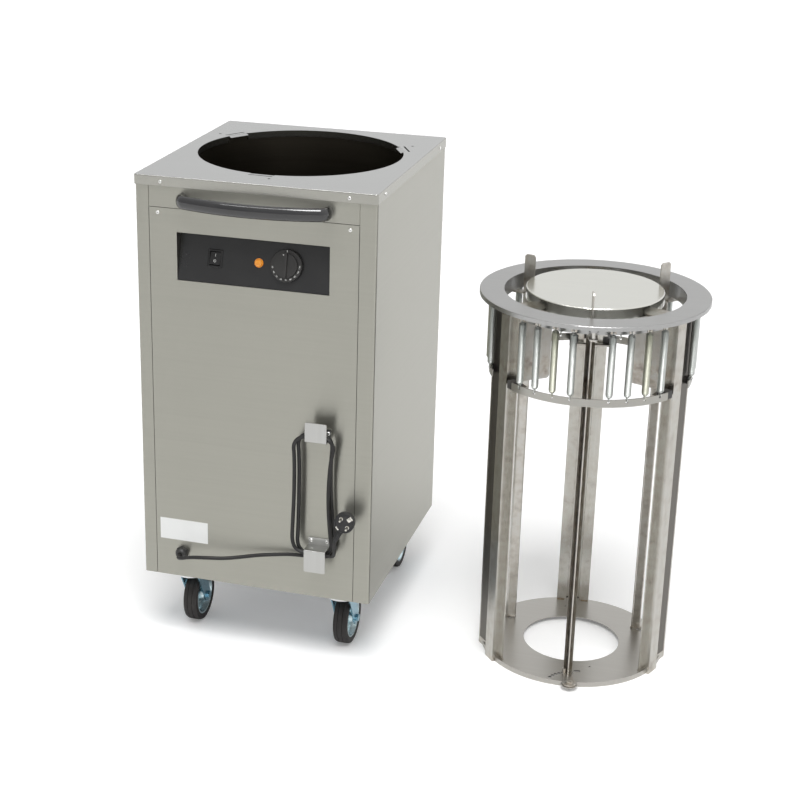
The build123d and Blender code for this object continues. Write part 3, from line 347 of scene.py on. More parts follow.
plug_metal = bright_metal("plug_nickel", (0.78, 0.76, 0.70), rough=0.22)
one_pin = bmesh.new()
lathe(one_pin, [(0, half - 2), (2.4, half - 2), (2.4, half + 15.6), (2.2, half + 17.4),
                (1.5, half + 18.6), (0, half + 19.0)], 24)
pin_mesh = bpy.data.meshes.new("pin")
one_pin.to_mesh(pin_mesh)
one_pin.free()
pins_shape = bmesh.new()
for side in (-1, 1):
    pin_foot = Matrix.Translation((side * pin_offset, 0, 0))
    stamp(pins_shape, pin_mesh, pin_foot)
    collar = bmesh.ops.create_circle(
        pins_shape, cap_ends=False, radius=3.4, segments=24,
        matrix=pin_foot @ Matrix.Translation((0, 0, half + 0.15)))["verts"]
    inner = bmesh.ops.extrude_edge_only(pins_shape, edges=edges_at(collar))["geom"]
    bmesh.ops.scale(pins_shape, vec=(0.72, 0.72, 1), verts=only(bmesh.types.BMVert, inner),
                    space=pin_foot.inverted())
bpy.data.meshes.remove(pin_mesh)
for clip_y, clip_sides in ((-clip_offset, (8.0, 3.0, 8.4)), (clip_offset, (8.0, 3.0, 8.4)),
                           (10.6, (7.6, 6.6, 8.0))):
    clip = add_block(pins_shape, clip_sides, Matrix.Translation((0, clip_y, half - 3.6)))
    round_edges(pins_shape, edges_at(clip), 0.7)
pins = piece("plug_pins", pins_shape, plug_metal, "cabinet", plug_place, 40)

# ---------------------------------------------------------------- cable gland
# Black nylon gland where the cord leaves the panel: a hexagon against the sheet and a ribbed dome
# nut screwed onto it that grips the cord.
gland_ribs = 24
gland_front = on_cart(78.0, 4.0, 185.0)
gland_shape = bmesh.new()
bmesh.ops.create_circle(gland_shape, cap_ends=True, radius=12.5, segments=6)
raised = bmesh.ops.extrude_face_region(gland_shape, geom=list(gland_shape.faces))["geom"]
bmesh.ops.translate(gland_shape, vec=(0, 0, 4.9), verts=only(bmesh.types.BMVert, raised))
round_edges(gland_shape, [edge for edge in gland_shape.edges if edge.calc_length() < 20], 0.7)
lathe(gland_shape, [(0.1, 4.2), (10.6, 4.2), (10.9, 5.0), (10.8, 9.5), (10.1, 12.0), (8.6, 14.2),
                    (6.9, 15.4), (5.0, 15.9), (4.0, 15.4), (3.6, 13.0)])
for rib_number in range(gland_ribs):
    add_block(gland_shape, (0.9, 0.9, 4.6), Matrix.Rotation(
        math.tau * rib_number / gland_ribs, 4, "Z") @ Matrix.Translation((10.75, 0, 7.6)))
gland_turn = Matrix((Vector((1, 0, 0)), Vector((0, 0, 1)), Vector((0, -1, 0)))).transposed().to_4x4()
gland = piece("gland_nut", gland_shape,
              moulded("gland_nylon", (0.02, 0.02, 0.02), rough=0.45, dust=0.05), "cabinet",
              Matrix.Translation(gland_front) @ gland_turn @ mm_to_m, 35)
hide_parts("cable_gland")

# ---------------------------------------------------------------- cabinet sheets
# Stainless sheet, 1.5 mm, brushed in one direction and folded: two sides that wrap round to the
# front and back, a back, a rail under the lid and the front panel, screwed together.


def brushed_sheet_group():
    # long fine scratches, slow clouds of lighter and darker tone, and scratches deep enough to blur
    group, given, result = new_group("brushed_sheet", {
        "Grain": "Vector", "Plain": "Vector", "Tone": "Color", "Streaks": "Float", "Clouds": "Float",
        "Rough": "Float", "Depth": "Float"}, surface_gives)

    def noise(vector, size, detail):
        texture = add_node(group, "TexNoise", {"Scale": size, "Detail": detail})
        join(group, (given[vector], texture.inputs["Vector"]))
        return texture.outputs["Fac"]

    def swing(value, gain, base):
        # base + gain * (2 * value - 1)
        centred = add_node(group, "Math", {1: 2.0, 2: -1.0}, operation="MULTIPLY_ADD")
        scaled = add_node(group, "Math", operation="MULTIPLY_ADD")
        join(group, (value, centred.inputs[0]), (centred.outputs[0], scaled.inputs[0]),
             (gain, scaled.inputs[1]))
        if isinstance(base, float):
            scaled.inputs[2].default_value = base
        else:
            join(group, (base, scaled.inputs[2]))
        return scaled.outputs[0]

    fine = noise("Grain", 1.0, 3.0)
    wide = noise("Grain", 0.11, 2.0)
    cloud = noise("Plain", 3.2, 3.0)
    gain = swing(fine, given["Streaks"], 1.0)
    gain = swing(wide, given["Streaks"], gain)
    gain = swing(cloud, given["Clouds"], gain)
    shade = add_node(group, "VectorMath", operation="SCALE")
    uneven = add_node(group, "Math", {1: 0.5}, operation="MULTIPLY")
    bump = add_node(group, "Bump", {"Distance": 0.00004})
    join(group,
         (given["Tone"], shade.inputs[0]),
         (gain, shade.inputs["Scale"]),
         (given["Clouds"], uneven.inputs[0]),
         (given["Depth"], bump.inputs["Strength"]),
         (fine, bump.inputs["Height"]),
         (shade.outputs["Vector"], result["Colour"]),
         (swing(cloud, uneven.outputs[0], given["Rough"]), result["Roughness"]),
         (bump.outputs["Normal"], result["Normal"]))
    return group


brushed_sheet = brushed_sheet_group()


def brushed_steel(name, tone, rough=0.3, grain=(9, 9, 1500), streaks=0.06, clouds=0.05, depth=0.5,
                  stretch=0.0):
    # grain is how fine the scratches are along each axis, and stretch smears what the steel mirrors
    material, tree, shader, surface = surfaced(name, brushed_sheet, {
        "Tone": (*tone, 1), "Streaks": streaks, "Clouds": clouds, "Rough": rough, "Depth": depth})
    join(tree, (coordinates(material, grain), surface.inputs["Grain"]),
         (coordinates(material), surface.inputs["Plain"]))
    shader.inputs["Metallic"].default_value = 1.0
    if stretch:
        along = add_node(tree, "Tangent", direction_type="RADIAL", axis="Z")
        shader.inputs["Anisotropic"].default_value = stretch
        shader.inputs["Anisotropic Rotation"].default_value = 0.25
        join(tree, (along.outputs["Tangent"], shader.inputs["Tangent"]))
    return material


cabinet_steel = brushed_steel("brushed_cabinet_steel", (0.395, 0.39, 0.345), rough=0.36,
                              streaks=0.03, clouds=0.04, depth=0.3, stretch=0.8)
dress(cabinet_steel, "left_side_panel", "right_side_panel", "back_panel", "front_top_rail",
      "front_panel")

# ---------------------------------------------------------------- panel joints
# Dark strips lie in the joints between the panels, just below their surface, as painted shade in
# the gaps. The fold at each front corner carries a thin dark line of painted shadow on its side face.
joint_wide, joint_deep = 0.95, 0.5
joint_left, joint_right, rail_joint_height = 26.0, 410.0, 843.0
joint_shade_shape = bmesh.new()
joints = [((x, y, 487.5), (joint_wide, joint_deep, 707)) for x in (joint_left, joint_right)
          for y in (5.2, 475.3)]
joints.append((((joint_left + joint_right) / 2, 5.2, rail_joint_height),
               (joint_right - joint_left, joint_deep, joint_wide)))


def at_cart(x, y, z):
    # the turn-free placing of a shape in millimetres at a point of the cart
    return Matrix.Translation(on_cart(x, y, z)) @ mm_to_m


for middle, sides in joints:
    add_block(joint_shade_shape, sides, at_cart(*middle))
side_low, side_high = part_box("right_side_panel")
# a thin dark line of painted shadow on the side face at each front corner fold
for fold_x in (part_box("left_side_panel")[0][0], side_high[0]):
    add_block(joint_shade_shape, (0.0003, 0.0011, side_high[2] - side_low[2] - 0.002), Matrix.Translation(
        (fold_x, side_low[1] + 0.0037, (side_low[2] + side_high[2]) / 2)))
piece("seam_painted_shade", joint_shade_shape, moulded("painted_joint_shade", (0.02, 0.02, 0.018), rough=0.8, dust=0.2),
      "cabinet")

# ---------------------------------------------------------------- lid
# One pressed stainless sheet with a folded rim, a round hole with a turned-down lip, three slits
# with small tabs that carry the dispenser, and a few drilled holes. Brushed from side to side.
lid_steel = brushed_steel("brushed_lid_steel", (0.50, 0.505, 0.50), rough=0.25, grain=(9, 1500, 9),
                          streaks=0.04, clouds=0.04, depth=0.4)


def surface_colour(tree):
    return next(n for n in tree.nodes if n.label == "surface").outputs["Colour"]


# the folded skirt is painted in the cabinet's darker tone as painted shade on the lid's upright faces,
# and the flat top keeps the paler one
lid_tree = lid_steel.node_tree
lid_split = add_node(lid_tree, "SeparateXYZ")
lid_shade_mask = add_node(lid_tree, "MapRange", {"From Min": 0.3, "From Max": 0.9})
lid_painted_shade = add_node(lid_tree, "Mix", {"A": (0.40, 0.395, 0.36, 1)}, data_type="RGBA")
join(lid_tree,
     (add_node(lid_tree, "TexCoord").outputs["Normal"], lid_split.inputs["Vector"]),
     (lid_split.outputs["Z"], lid_shade_mask.inputs["Value"]),
     (lid_shade_mask.outputs["Result"], lid_painted_shade.inputs["Factor"]),
     (surface_colour(lid_tree), lid_painted_shade.inputs["B"]),
     (lid_painted_shade.outputs["Result"], lid_tree.nodes["Principled BSDF"].inputs["Base Color"]))
dress(lid_steel, "lid")

# ---------------------------------------------------------------- well
# Rolled sheet cylinder under the hole, with a flat pan at its foot that carries the heating rod.
# Given a dark tone inside.
dress(brushed_steel("dark_liner_sheet", (0.13, 0.115, 0.09), rough=0.33, grain=(9, 9, 900),
                    streaks=0.12, clouds=0.25, depth=0.5), "well_liner")
dress(brushed_steel("well_floor_sheet", (0.07, 0.066, 0.062), rough=0.4, grain=(9, 900, 9),
                    streaks=0.15, clouds=0.3), "well_floor")
dress(bright_metal("element_sheath", (0.16, 0.13, 0.11), rough=0.45, grain=900, depth=0.3),
      "heating_element")
dress(moulded("terminal_moulding", (0.25, 0.23, 0.2), rough=0.6, dust=0.3), "terminal_block",
      "thermostat_body")
dress(bright_metal("galvanised_tray", (0.42, 0.43, 0.44), rough=0.42, grain=60, depth=0.25),
      "base_tray")

# ---------------------------------------------------------------- case screws
# Bright pan-head screws with a cross recess: along the lid's rim, at the front panel's top corners
# and in the cord hooks.


def screw_head(shape, place):
    # a square patch with a sunk cross, joined to a round rim and drawn down to the sheet
    patch = bmesh.ops.create_grid(shape, x_segments=5, y_segments=5, size=1.9)["verts"]
    faces = list({face for vert in patch for face in vert.link_faces})
    border = [edge for edge in {edge for face in faces for edge in face.edges} if edge.is_boundary]
    arms = []
    for face in faces:
        middle = face.calc_center_median()
        if min(abs(middle.x), abs(middle.y)) < 0.1 and middle.length < 1.3:
            arms.append(face)
    sunk = bmesh.ops.extrude_face_region(shape, geom=arms)["geom"]
    bmesh.ops.delete(shape, geom=arms, context="FACES_ONLY")
    # the sunk cross takes the second material, a dark painted shade for the recess
    for face in only(bmesh.types.BMFace, sunk):
        face.material_index = 1
    recess = only(bmesh.types.BMVert, sunk)
    bmesh.ops.translate(shape, vec=(0, 0, -0.8), verts=recess)
    rim = bmesh.ops.create_circle(
        shape, cap_ends=False, radius=2.75, segments=len(border),
        matrix=Matrix.Translation((0, 0, -0.3)) @ Matrix.Rotation(math.radians(45), 4, "Z"))["verts"]
    outer = edges_at(rim)
    bmesh.ops.bridge_loops(shape, edges=border + outer)
    head = set(patch) | set(rim) | set(recess)
    for grow, drop in ((1.16, -0.4), (1.065, -0.9)):
        made = bmesh.ops.extrude_edge_only(shape, edges=outer)["geom"]
        verts, outer = only(bmesh.types.BMVert, made), only(bmesh.types.BMEdge, made)
        bmesh.ops.scale(shape, vec=(grow, grow, 1), verts=verts)
        bmesh.ops.translate(shape, vec=(0, 0, drop), verts=verts)
        head |= set(verts)
    bmesh.ops.translate(shape, vec=(0, 0, 1.6), verts=list(head))
    bmesh.ops.transform(shape, matrix=place, verts=list(head))


def facing(out):
    # a turn that carries +Z to the given outward way
    return Vector((0, 0, 1)).rotation_difference(Vector(out)).to_matrix().to_4x4()


screw_steel = bright_metal("screw_steel", (0.88, 0.88, 0.86), rough=0.3)
# dark painted shade for the screws' cross recesses
painted_recess_shade = bright_metal("painted_recess_shade", (0.10, 0.09, 0.08), rough=0.5)
rim_screw_height, panel_screw_height = 889.5, 833.5
case_seats = [((x, y, rim_screw_height), (0, way, 0)) for x in (50, 392)
              for y, way in ((0, -1), (478, 1))]
case_seats += [((x, y, rim_screw_height), (way, 0, 0)) for y in (50, 428)
               for x, way in ((0, -1), (442, 1))]
case_seats += [((x, 4, panel_screw_height), (0, -1, 0)) for x in (42.5, 393.5)]
hook_seats = [((x, 2, z), (0, -1, 0)) for x in (330, 360) for z in (460, 248)]
for name, seats, cad_node, turn_step in (
        ("case_screw_heads", case_seats, "case_screws", 23),
        ("hook_screw_heads", hook_seats, "hook_screws", 31)):
    heads = bmesh.new()
    for number, (seat, out) in enumerate(seats):
        screw_head(heads, Matrix.Translation(on_cart(*seat)) @ facing(out) @ Matrix.Rotation(
            math.radians(turn_step * number), 4, "Z") @ mm_to_m)
    bmesh.ops.recalc_face_normals(heads, faces=heads.faces)
    screws = piece(name, heads, screw_steel, "cabinet", smooth_angle=35)
    screws.data.materials.append(painted_recess_shade)
    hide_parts(cad_node)

# ---------------------------------------------------------------- push handle
# One-piece bow handle moulded in gloss black plastic, on two posts through the rail. Its finish is
# drawn with a clear gloss coat.
dress(moulded("handle_gloss_black", (0.006, 0.006, 0.007), rough=0.15, grain=260, depth=0.03,
              dust=0.02, coat=1.0), "push_handle")

# ---------------------------------------------------------------- control plate and its controls
# Sheet plate with a satin dark coating, set back and leaning in the front panel's window. A rocker
# switch, an amber lamp and the temperature knob are fitted through it.
plate_lean = math.radians(15)
control_face = Matrix.Translation(on_cart(77.4, 4, 714)) @ Matrix((
    (1, 0, 0), (0, math.sin(plate_lean), math.cos(plate_lean)),
    (0, -math.cos(plate_lean), math.sin(plate_lean)))).transposed().to_4x4() @ mm_to_m
dress(moulded("dark_coated_plate", (0.014, 0.014, 0.0145), rough=0.3, grain=1500, depth=0.08,
              dust=0.01, coat=0.1), "control_plate")
dress(moulded("switch_black", (0.008, 0.008, 0.008), rough=0.25, grain=1800, depth=0.06, dust=0.02),
      "switch_housing", "rocker_button")
dress(moulded("knob_black", (0.022, 0.021, 0.020), rough=0.42, grain=1600, depth=0.15, dust=0.03),
      "temperature_knob")

amber, amber_tree, amber_shader = new_material("amber_lens")
facets = add_node(amber_tree, "TexVoronoi", {"Scale": 520})
facet_fade = add_node(amber_tree, "MapRange", {"From Max": 0.9})
glow = add_node(amber_tree, "Mix", {"A": (0.95, 0.42, 0.03, 1), "B": (0.62, 0.19, 0.01, 1)},
                data_type="RGBA")
facet_bump = add_node(amber_tree, "Bump", {"Strength": 0.4, "Distance": 0.0006})
join(amber_tree,
     (coordinates(amber), facets.inputs["Vector"]),
     (facets.outputs["Distance"], facet_fade.inputs["Value"]),
     (facet_fade.outputs["Result"], glow.inputs["Factor"]),
     (facets.outputs["Distance"], facet_bump.inputs["Height"]),
     (glow.outputs["Result"], amber_shader.inputs["Base Color"]),
     (facet_bump.outputs["Normal"], amber_shader.inputs["Normal"]))
for socket_name, amount in {
        "Roughness": 0.12, "Coat Weight": 0.8, "Subsurface Weight": 0.25,
        "Subsurface Radius": (0.004, 0.002, 0.0005), "Emission Color": (1.0, 0.35, 0.02, 1),
        "Emission Strength": 0.12}.items():
    amber_shader.inputs[socket_name].default_value = amount
dress(amber, "pilot_lamp")

print_white = moulded("print_white", (0.72, 0.72, 0.70), rough=0.55, grain=2200, depth=0.05,
                      dust=0.1)


def printed(shape, words, size, place):
    # plain figures, cut as a thin raised print
    text_curve = bpy.data.curves.new("figure", "FONT")
    text_curve.body = words
    text_curve.size = size
    text_curve.align_x = "CENTER"
    text_curve.align_y = "CENTER"
    text_curve.extrude = 0.03
    text_curve.resolution_u = 3
    stand = bpy.data.objects.new("figure", text_curve)
    figure = bpy.data.meshes.new_from_object(stand)
    stamp(shape, figure, place)
    bpy.data.meshes.remove(figure)
    bpy.data.objects.remove(stand)
    bpy.data.curves.remove(text_curve)


# the skirt of the knob carries the numbers and a tick, and its cap a dot
knob_middle = Matrix.Translation((200.3, 44.2, 0))
skirt_print, cap_print = 7.83, 10.86
dial_radius, dial_first, dial_last = 24.9, 190.0, 357.0
dial_numbers = range(30, 120, 10)
dot_radius, dot_angle = 19.0, math.radians(106)
figures_shape = bmesh.new()
for number, words in enumerate(dial_numbers):
    angle = math.radians(dial_first + (dial_last - dial_first) * number / (len(dial_numbers) - 1))
    printed(figures_shape, str(words), 4.0, knob_middle @ Matrix.Translation(
        (dial_radius * math.cos(angle), dial_radius * math.sin(angle), skirt_print))
        @ Matrix.Rotation(angle - math.radians(270), 4, "Z"))
add_block(figures_shape, (1.0, 4.2, 0.06), knob_middle @ Matrix.Translation((0, 24.7, skirt_print)))
bmesh.ops.create_circle(figures_shape, cap_ends=True, radius=1.0, segments=20,
                        matrix=knob_middle @ Matrix.Translation((
                            dot_radius * math.cos(dot_angle), dot_radius * math.sin(dot_angle),
                            cap_print)))
piece("knob_figures", figures_shape, print_white, "knob", control_face)

rocker_print = 4.02
rocker_face = Matrix.Translation((67.5, 44.4, -3)) @ Matrix.Rotation(math.radians(-10), 4, "X")
switch_marks = bmesh.new()
printed(switch_marks, "I", 7.4, rocker_face @ Matrix.Translation((0, 5.2, rocker_print)))
printed(switch_marks, "O", 6.6, rocker_face @ Matrix.Translation((0, -5.4, rocker_print)))
piece("rocker_marks", switch_marks, print_white, "rocker", control_face)

# ---------------------------------------------------------------- cord hooks and blank plate
# Two flat stainless strips bent into hooks, each on two screws, and a plain white film stuck beside
# the gland.
dress(brushed_steel("hook_strip_steel", (0.50, 0.50, 0.485), rough=0.3, grain=(1400, 9, 9),
                    streaks=0.05, clouds=0.04), "upper_cord_hook", "lower_cord_hook")
dress(moulded("white_film", (0.74, 0.75, 0.74), rough=0.4, grain=2000, depth=0.03, dust=0.06),
      "rating_plate")

# ---------------------------------------------------------------- casters
# Zinc-plated swivel casters: a top plate, a bright cover round the ball race, a pressed fork with a
# bolt for an axle, a two-part plated rim and a solid rubber tyre with two shallow grooves.
axle_behind, axle_height = 36.4, 51.0
zinc_bright = bright_metal("zinc_plate_blue", (0.30, 0.50, 0.60), rough=0.24, grain=500, depth=0.08)
zinc_rim = bright_metal("zinc_rim", (0.62, 0.76, 0.80), rough=0.22, grain=500, depth=0.06)
race_zinc = bright_metal("zinc_race", (0.90, 0.92, 0.92), rough=0.3, grain=500, depth=0.05)
tyre_rubber = moulded("tyre_rubber", (0.013, 0.0105, 0.0095), rough=0.62, grain=700, depth=0.4,
                      dust=0.08)
tyre_half = [(38.6, -12.4), (41.0, -13.5), (42.2, -13.2), (43.4, -13.9), (46.6, -14.0),
             (49.2, -12.9), (50.5, -10.4), (51.0, -6.9), (51.0, -5.4), (50.1, -5.0), (50.1, -4.2),
             (51.0, -3.8)]
tyre_line = tyre_half + [(radius, -across) for radius, across in reversed(tyre_half)]
tyre_line.append(tyre_half[0])
race_line = [(24.0, 119.4), (29.5, 119.4), (31.6, 118.0), (32.0, 116.0), (31.0, 114.4),
             (28.6, 113.6), (24.0, 114.6), (24.0, 119.4)]
swivel_seats = {"front_left": (70.4, 65.0), "front_right": (371.6, 65.0),
                "rear_left": (70.4, 413.0), "rear_right": (371.6, 413.0)}
for corner, (swivel_x, swivel_y) in swivel_seats.items():
    dress(zinc_bright, "caster_plate_" + corner, "caster_fork_" + corner)
    dress(zinc_rim, "caster_rim_" + corner)
    race_shape = bmesh.new()
    lathe(race_shape, race_line)
    piece("race_cover_" + corner, race_shape, race_zinc, "swivel_" + corner,
          at_cart(swivel_x, swivel_y, 0), 40)
    tyre_shape = bmesh.new()
    lathe(tyre_shape, tyre_line, 72)
    tyre = piece("tyre_" + corner, tyre_shape, tyre_rubber, "wheel_" + corner,
                 at_cart(swivel_x, swivel_y + axle_behind, axle_height)
                 @ Matrix.Rotation(math.radians(90), 4, "Y"), 30)
    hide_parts("caster_tyre_" + corner)

# ---------------------------------------------------------------- dispenser frame
# Welded frame of brushed stainless: a flat ring on top with a collar inside, three folded uprights
# of two angles each, and a ring at the foot. The welds at the feet and under the ring are tinted.


def heat_tint_group():
    # straw, brown and dark blotches, full at a weld's height and half as strong between the welds
    tint_between = 0.5
    group, given, result = new_group(
        "heat_tint", {"Colour": "Color", "Plain": "Vector", "Amount": "Float"}, {"Colour": "Color"})
    split = add_node(group, "SeparateXYZ")
    join(group, (given["Plain"], split.inputs["Vector"]))
    strength = None
    for weld_height, near, far in ((0.0, 0.010, 0.038), (0.572, 0.014, 0.034), (0.682, 0.010, 0.026)):
        away = add_node(group, "Math", {1: weld_height}, operation="SUBTRACT")
        size = add_node(group, "Math", operation="ABSOLUTE")
        fade = add_node(group, "MapRange", {"From Min": near, "From Max": far, "To Min": 1.0,
                                            "To Max": 0.0}, interpolation_type="SMOOTHSTEP")
        stronger = add_node(group, "Math", {1: tint_between}, operation="MAXIMUM")
        join(group,
             (split.outputs["Z"], away.inputs[0]),
             (away.outputs[0], size.inputs[0]),
             (size.outputs[0], fade.inputs["Value"]),
             (fade.outputs["Result"], stronger.inputs[0]))
        if strength is not None:
            join(group, (strength, stronger.inputs[1]))
        strength = stronger.outputs[0]
    blotch = add_node(group, "TexNoise", {"Scale": 70.0, "Detail": 3.0})
    patch = add_node(group, "MapRange", {"From Min": 0.42, "From Max": 0.72})
    both = add_node(group, "Math", operation="MULTIPLY")
    amount = add_node(group, "Math", operation="MULTIPLY")
    burnt = add_node(group, "ValToRGB")
    burnt.color_ramp.elements[0].color = (0.42, 0.27, 0.11, 1)
    burnt.color_ramp.elements[1].color = (0.09, 0.05, 0.03, 1)
    mixed = add_node(group, "Mix", data_type="RGBA")
    join(group,
         (given["Plain"], blotch.inputs["Vector"]),
         (blotch.outputs["Fac"], patch.inputs["Value"]),
         (strength, both.inputs[0]),
         (patch.outputs["Result"], both.inputs[1]),
         (both.outputs[0], amount.inputs[0]),
         (given["Amount"], amount.inputs[1]),
         (patch.outputs["Result"], burnt.inputs["Fac"]),
         (amount.outputs[0], mixed.inputs["Factor"]),
         (given["Colour"], mixed.inputs["A"]),
         (burnt.outputs["Color"], mixed.inputs["B"]),
         (mixed.outputs["Result"], result["Colour"]))
    return group


heat_tint = heat_tint_group()


def tinted(material, amount):
    tree = material.node_tree
    tint = add_node(tree, "Group", node_tree=heat_tint)
    tint.inputs["Amount"].default_value = amount
    join(tree,
         (surface_colour(tree), tint.inputs["Colour"]),
         (coordinates(material), tint.inputs["Plain"]),
         (tint.outputs["Colour"], tree.nodes["Principled BSDF"].inputs["Base Color"]))
    return material


insert_low, insert_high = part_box("top_ring")
insert_middle = (insert_low + insert_high) / 2


def on_insert(radius, angle, height):
    # millimetres from the dispenser's axis and the floor, and degrees round it
    turn = math.radians(angle)
    return Vector((insert_middle.x + radius / 1000 * math.cos(turn),
                   insert_middle.y + radius / 1000 * math.sin(turn), height / 1000))


dress(brushed_steel("brushed_ring_steel", (0.42, 0.42, 0.415), rough=0.3, grain=(9, 1300, 9),
                    streaks=0.05, clouds=0.06, depth=0.4), "top_ring")
dress(brushed_steel("brushed_base_steel", (0.46, 0.445, 0.415), rough=0.3, grain=(9, 1300, 9),
                    streaks=0.05, clouds=0.1, depth=0.4), "bottom_ring")
dress(tinted(brushed_steel("brushed_upright_steel", (0.52, 0.51, 0.475), rough=0.25,
                           grain=(1300, 1300, 9), streaks=0.07, clouds=0.04, depth=0.4), 0.45),
      "upright_left", "upright_right", "upright_back", "spring_lugs")

upright_angles = {"left": -141.0, "right": -21.0, "back": 99.0}
flange_radius, first_bead, bead_step = 160.2, 17.5, 1.9
bead_shape = bmesh.new()
for upright_angle in upright_angles.values():
    for side in (-1, 1):
        for number in range(7):
            across = side * (first_bead + bead_step * number)
            radius = math.hypot(flange_radius, across)
            angle = upright_angle + math.degrees(math.atan2(across, flange_radius))
            bead = bmesh.ops.create_icosphere(bead_shape, subdivisions=1, radius=0.0017)["verts"]
            bmesh.ops.scale(bead_shape, vec=(1.0, 1.15 + 0.1 * (number % 3), 0.6), verts=bead)
            bmesh.ops.translate(bead_shape, vec=on_insert(radius, angle, 9.7 + 0.15 * (number % 2)),
                                verts=bead)
piece("foot_welds", bead_shape,
      bright_metal("weld_bead", (0.30, 0.24, 0.17), rough=0.4, grain=1200, depth=0.4), "dispenser",
      smooth_angle=60)

# a thin dark strip of painted shade runs down the outside of each long flange, a little in from its
# edges
flange_shade_shape = bmesh.new()
for strip_angle, side in ((upright_angles["left"], -1), (upright_angles["right"], 1)):
    add_block(flange_shade_shape, (0.18, 46.0, 676.0), Matrix.Translation(on_insert(0, 0, 0))
              @ Matrix.Rotation(math.radians(strip_angle), 4, "Z") @ mm_to_m
              @ Matrix.Translation((163.07, side * 39.0, 352.0)))
piece("painted_shade_strips", flange_shade_shape,
      brushed_steel("painted_flange_shade", (0.15, 0.14, 0.125), rough=0.4, grain=(1300, 1300, 9),
                    streaks=0.1, clouds=0.1), "dispenser")

# ---------------------------------------------------------------- plate guides
# Three tall stainless blades on a foot that turns about a screw. A pin in the foot drops into one of
# seven holes in the lower ring, and so sets the plate size.
dress(tinted(brushed_steel("brushed_guide_steel", (0.60, 0.585, 0.55), rough=0.34,
                           grain=(1300, 1300, 9), streaks=0.08, clouds=0.05, depth=0.4), 0.6),
      "guide_front", "guide_left", "guide_right")

# ---------------------------------------------------------------- carriage
# Stainless plate carrier: a pressed disc on three welded arms, a band that the springs pull up, and
# dark nylon blocks that slide on the uprights.
dress(brushed_steel("brushed_platform_steel", (0.72, 0.72, 0.67), rough=0.2, grain=(9, 1400, 9),
                    streaks=0.03, clouds=0.05, depth=0.3), "platform_disc")
dress(tinted(brushed_steel("brushed_arm_steel", (0.44, 0.43, 0.405), rough=0.28,
                           grain=(1300, 1300, 9), streaks=0.07, clouds=0.08), 0.5), "carriage_arms")
dress(brushed_steel("brushed_band_steel", (0.42, 0.41, 0.38), rough=0.3, grain=(9, 9, 1400),
                    streaks=0.06, clouds=0.08), "spring_band")
dress(moulded("glide_nylon", (0.03, 0.029, 0.028), rough=0.5, dust=0.2), "glide_blocks")

# ---------------------------------------------------------------- springs
# Twenty-four close-wound tension springs of bright plated wire, two in each eight a little yellowed.
# Each narrows to a ring that hooks into a lug under the top ring, and at its foot into a hole of the
# carriage's band.
spring_circle, coil_radius, wire_radius = 180.0, 5.75, 0.75
coil_low, coil_high, steps_a_turn = 570.8, 676.4, 8
eye_radius, eye_low, eye_high = 3.2, 558.5, 686.0
spring_sectors, spring_offsets, yellowed = (-81.0, 39.0, 159.0), (10.5, 20.7, 31.4, 41.9), (2, 6)
coil_turns = round((coil_high - coil_low) / (2 * wire_radius * 0.97))
one_spring = bmesh.new()
across_coil = Matrix.Rotation(math.radians(90), 4, "X")


def wire_section(radius, height, segments=4, turn=across_coil):
    # the wire's cut end, as points and edges to sweep
    ring = bmesh.ops.create_circle(one_spring, cap_ends=False, radius=wire_radius, segments=segments,
                                   matrix=Matrix.Translation((radius, 0, height)) @ turn)["verts"]
    return list(ring) + edges_at(ring)


bmesh.ops.spin(one_spring, geom=wire_section(coil_radius, coil_low), cent=(0, 0, 0), axis=(0, 0, 1),
               dvec=(0, 0, (coil_high - coil_low) / (coil_turns * steps_a_turn)),
               angle=math.tau * coil_turns, steps=coil_turns * steps_a_turn)
for end, way, narrowing in ((coil_low, -1, ((5.2, 1.1), (4.3, 2.4), (3.1, 3.6), (1.9, 4.6))),
                            (coil_high, 1, ((4.9, 0.9), (3.6, 1.5), (2.2, 1.9)))):
    for radius, rise in narrowing:
        bmesh.ops.spin(one_spring, geom=wire_section(radius, end + way * rise), cent=(0, 0, 0),
                       axis=(0, 0, 1), angle=math.tau, steps=12, use_merge=True)
for middle in (eye_high - eye_radius, eye_low + eye_radius):
    bmesh.ops.spin(one_spring, geom=wire_section(eye_radius, middle, 5, Matrix.Identity(4)),
                   cent=(0, 0, middle), axis=(0, 1, 0), angle=math.tau, steps=14, use_merge=True)
bmesh.ops.recalc_face_normals(one_spring, faces=one_spring.faces)
spring_mesh = bpy.data.meshes.new("one_spring")
one_spring.to_mesh(spring_mesh)
one_spring.free()
spring_set = bmesh.new()
for sector in spring_sectors:
    offsets = sorted(side * offset for offset in spring_offsets for side in (-1, 1))
    for number, offset in enumerate(offsets):
        angle = sector + offset
        stamp(spring_set, spring_mesh, Matrix.Translation(on_insert(spring_circle, angle, 0))
              @ Matrix.Rotation(math.radians(angle), 4, "Z") @ mm_to_m,
              1 if number in yellowed else 0)
bpy.data.meshes.remove(spring_mesh)

spring_wire = bright_metal("plated_spring_wire", (0.66, 0.68, 0.66), rough=0.42, grain=420,
                           depth=0.03)
yellow_wire = bright_metal("yellowed_spring_wire", (0.62, 0.625, 0.54), rough=0.42, grain=420,
                           depth=0.03)
springs = piece("tension_springs", spring_set, spring_wire, "dispenser",
                smooth_angle=70)
springs.data.materials.append(yellow_wire)
springs.parent = None
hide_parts("springs")
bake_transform(springs)

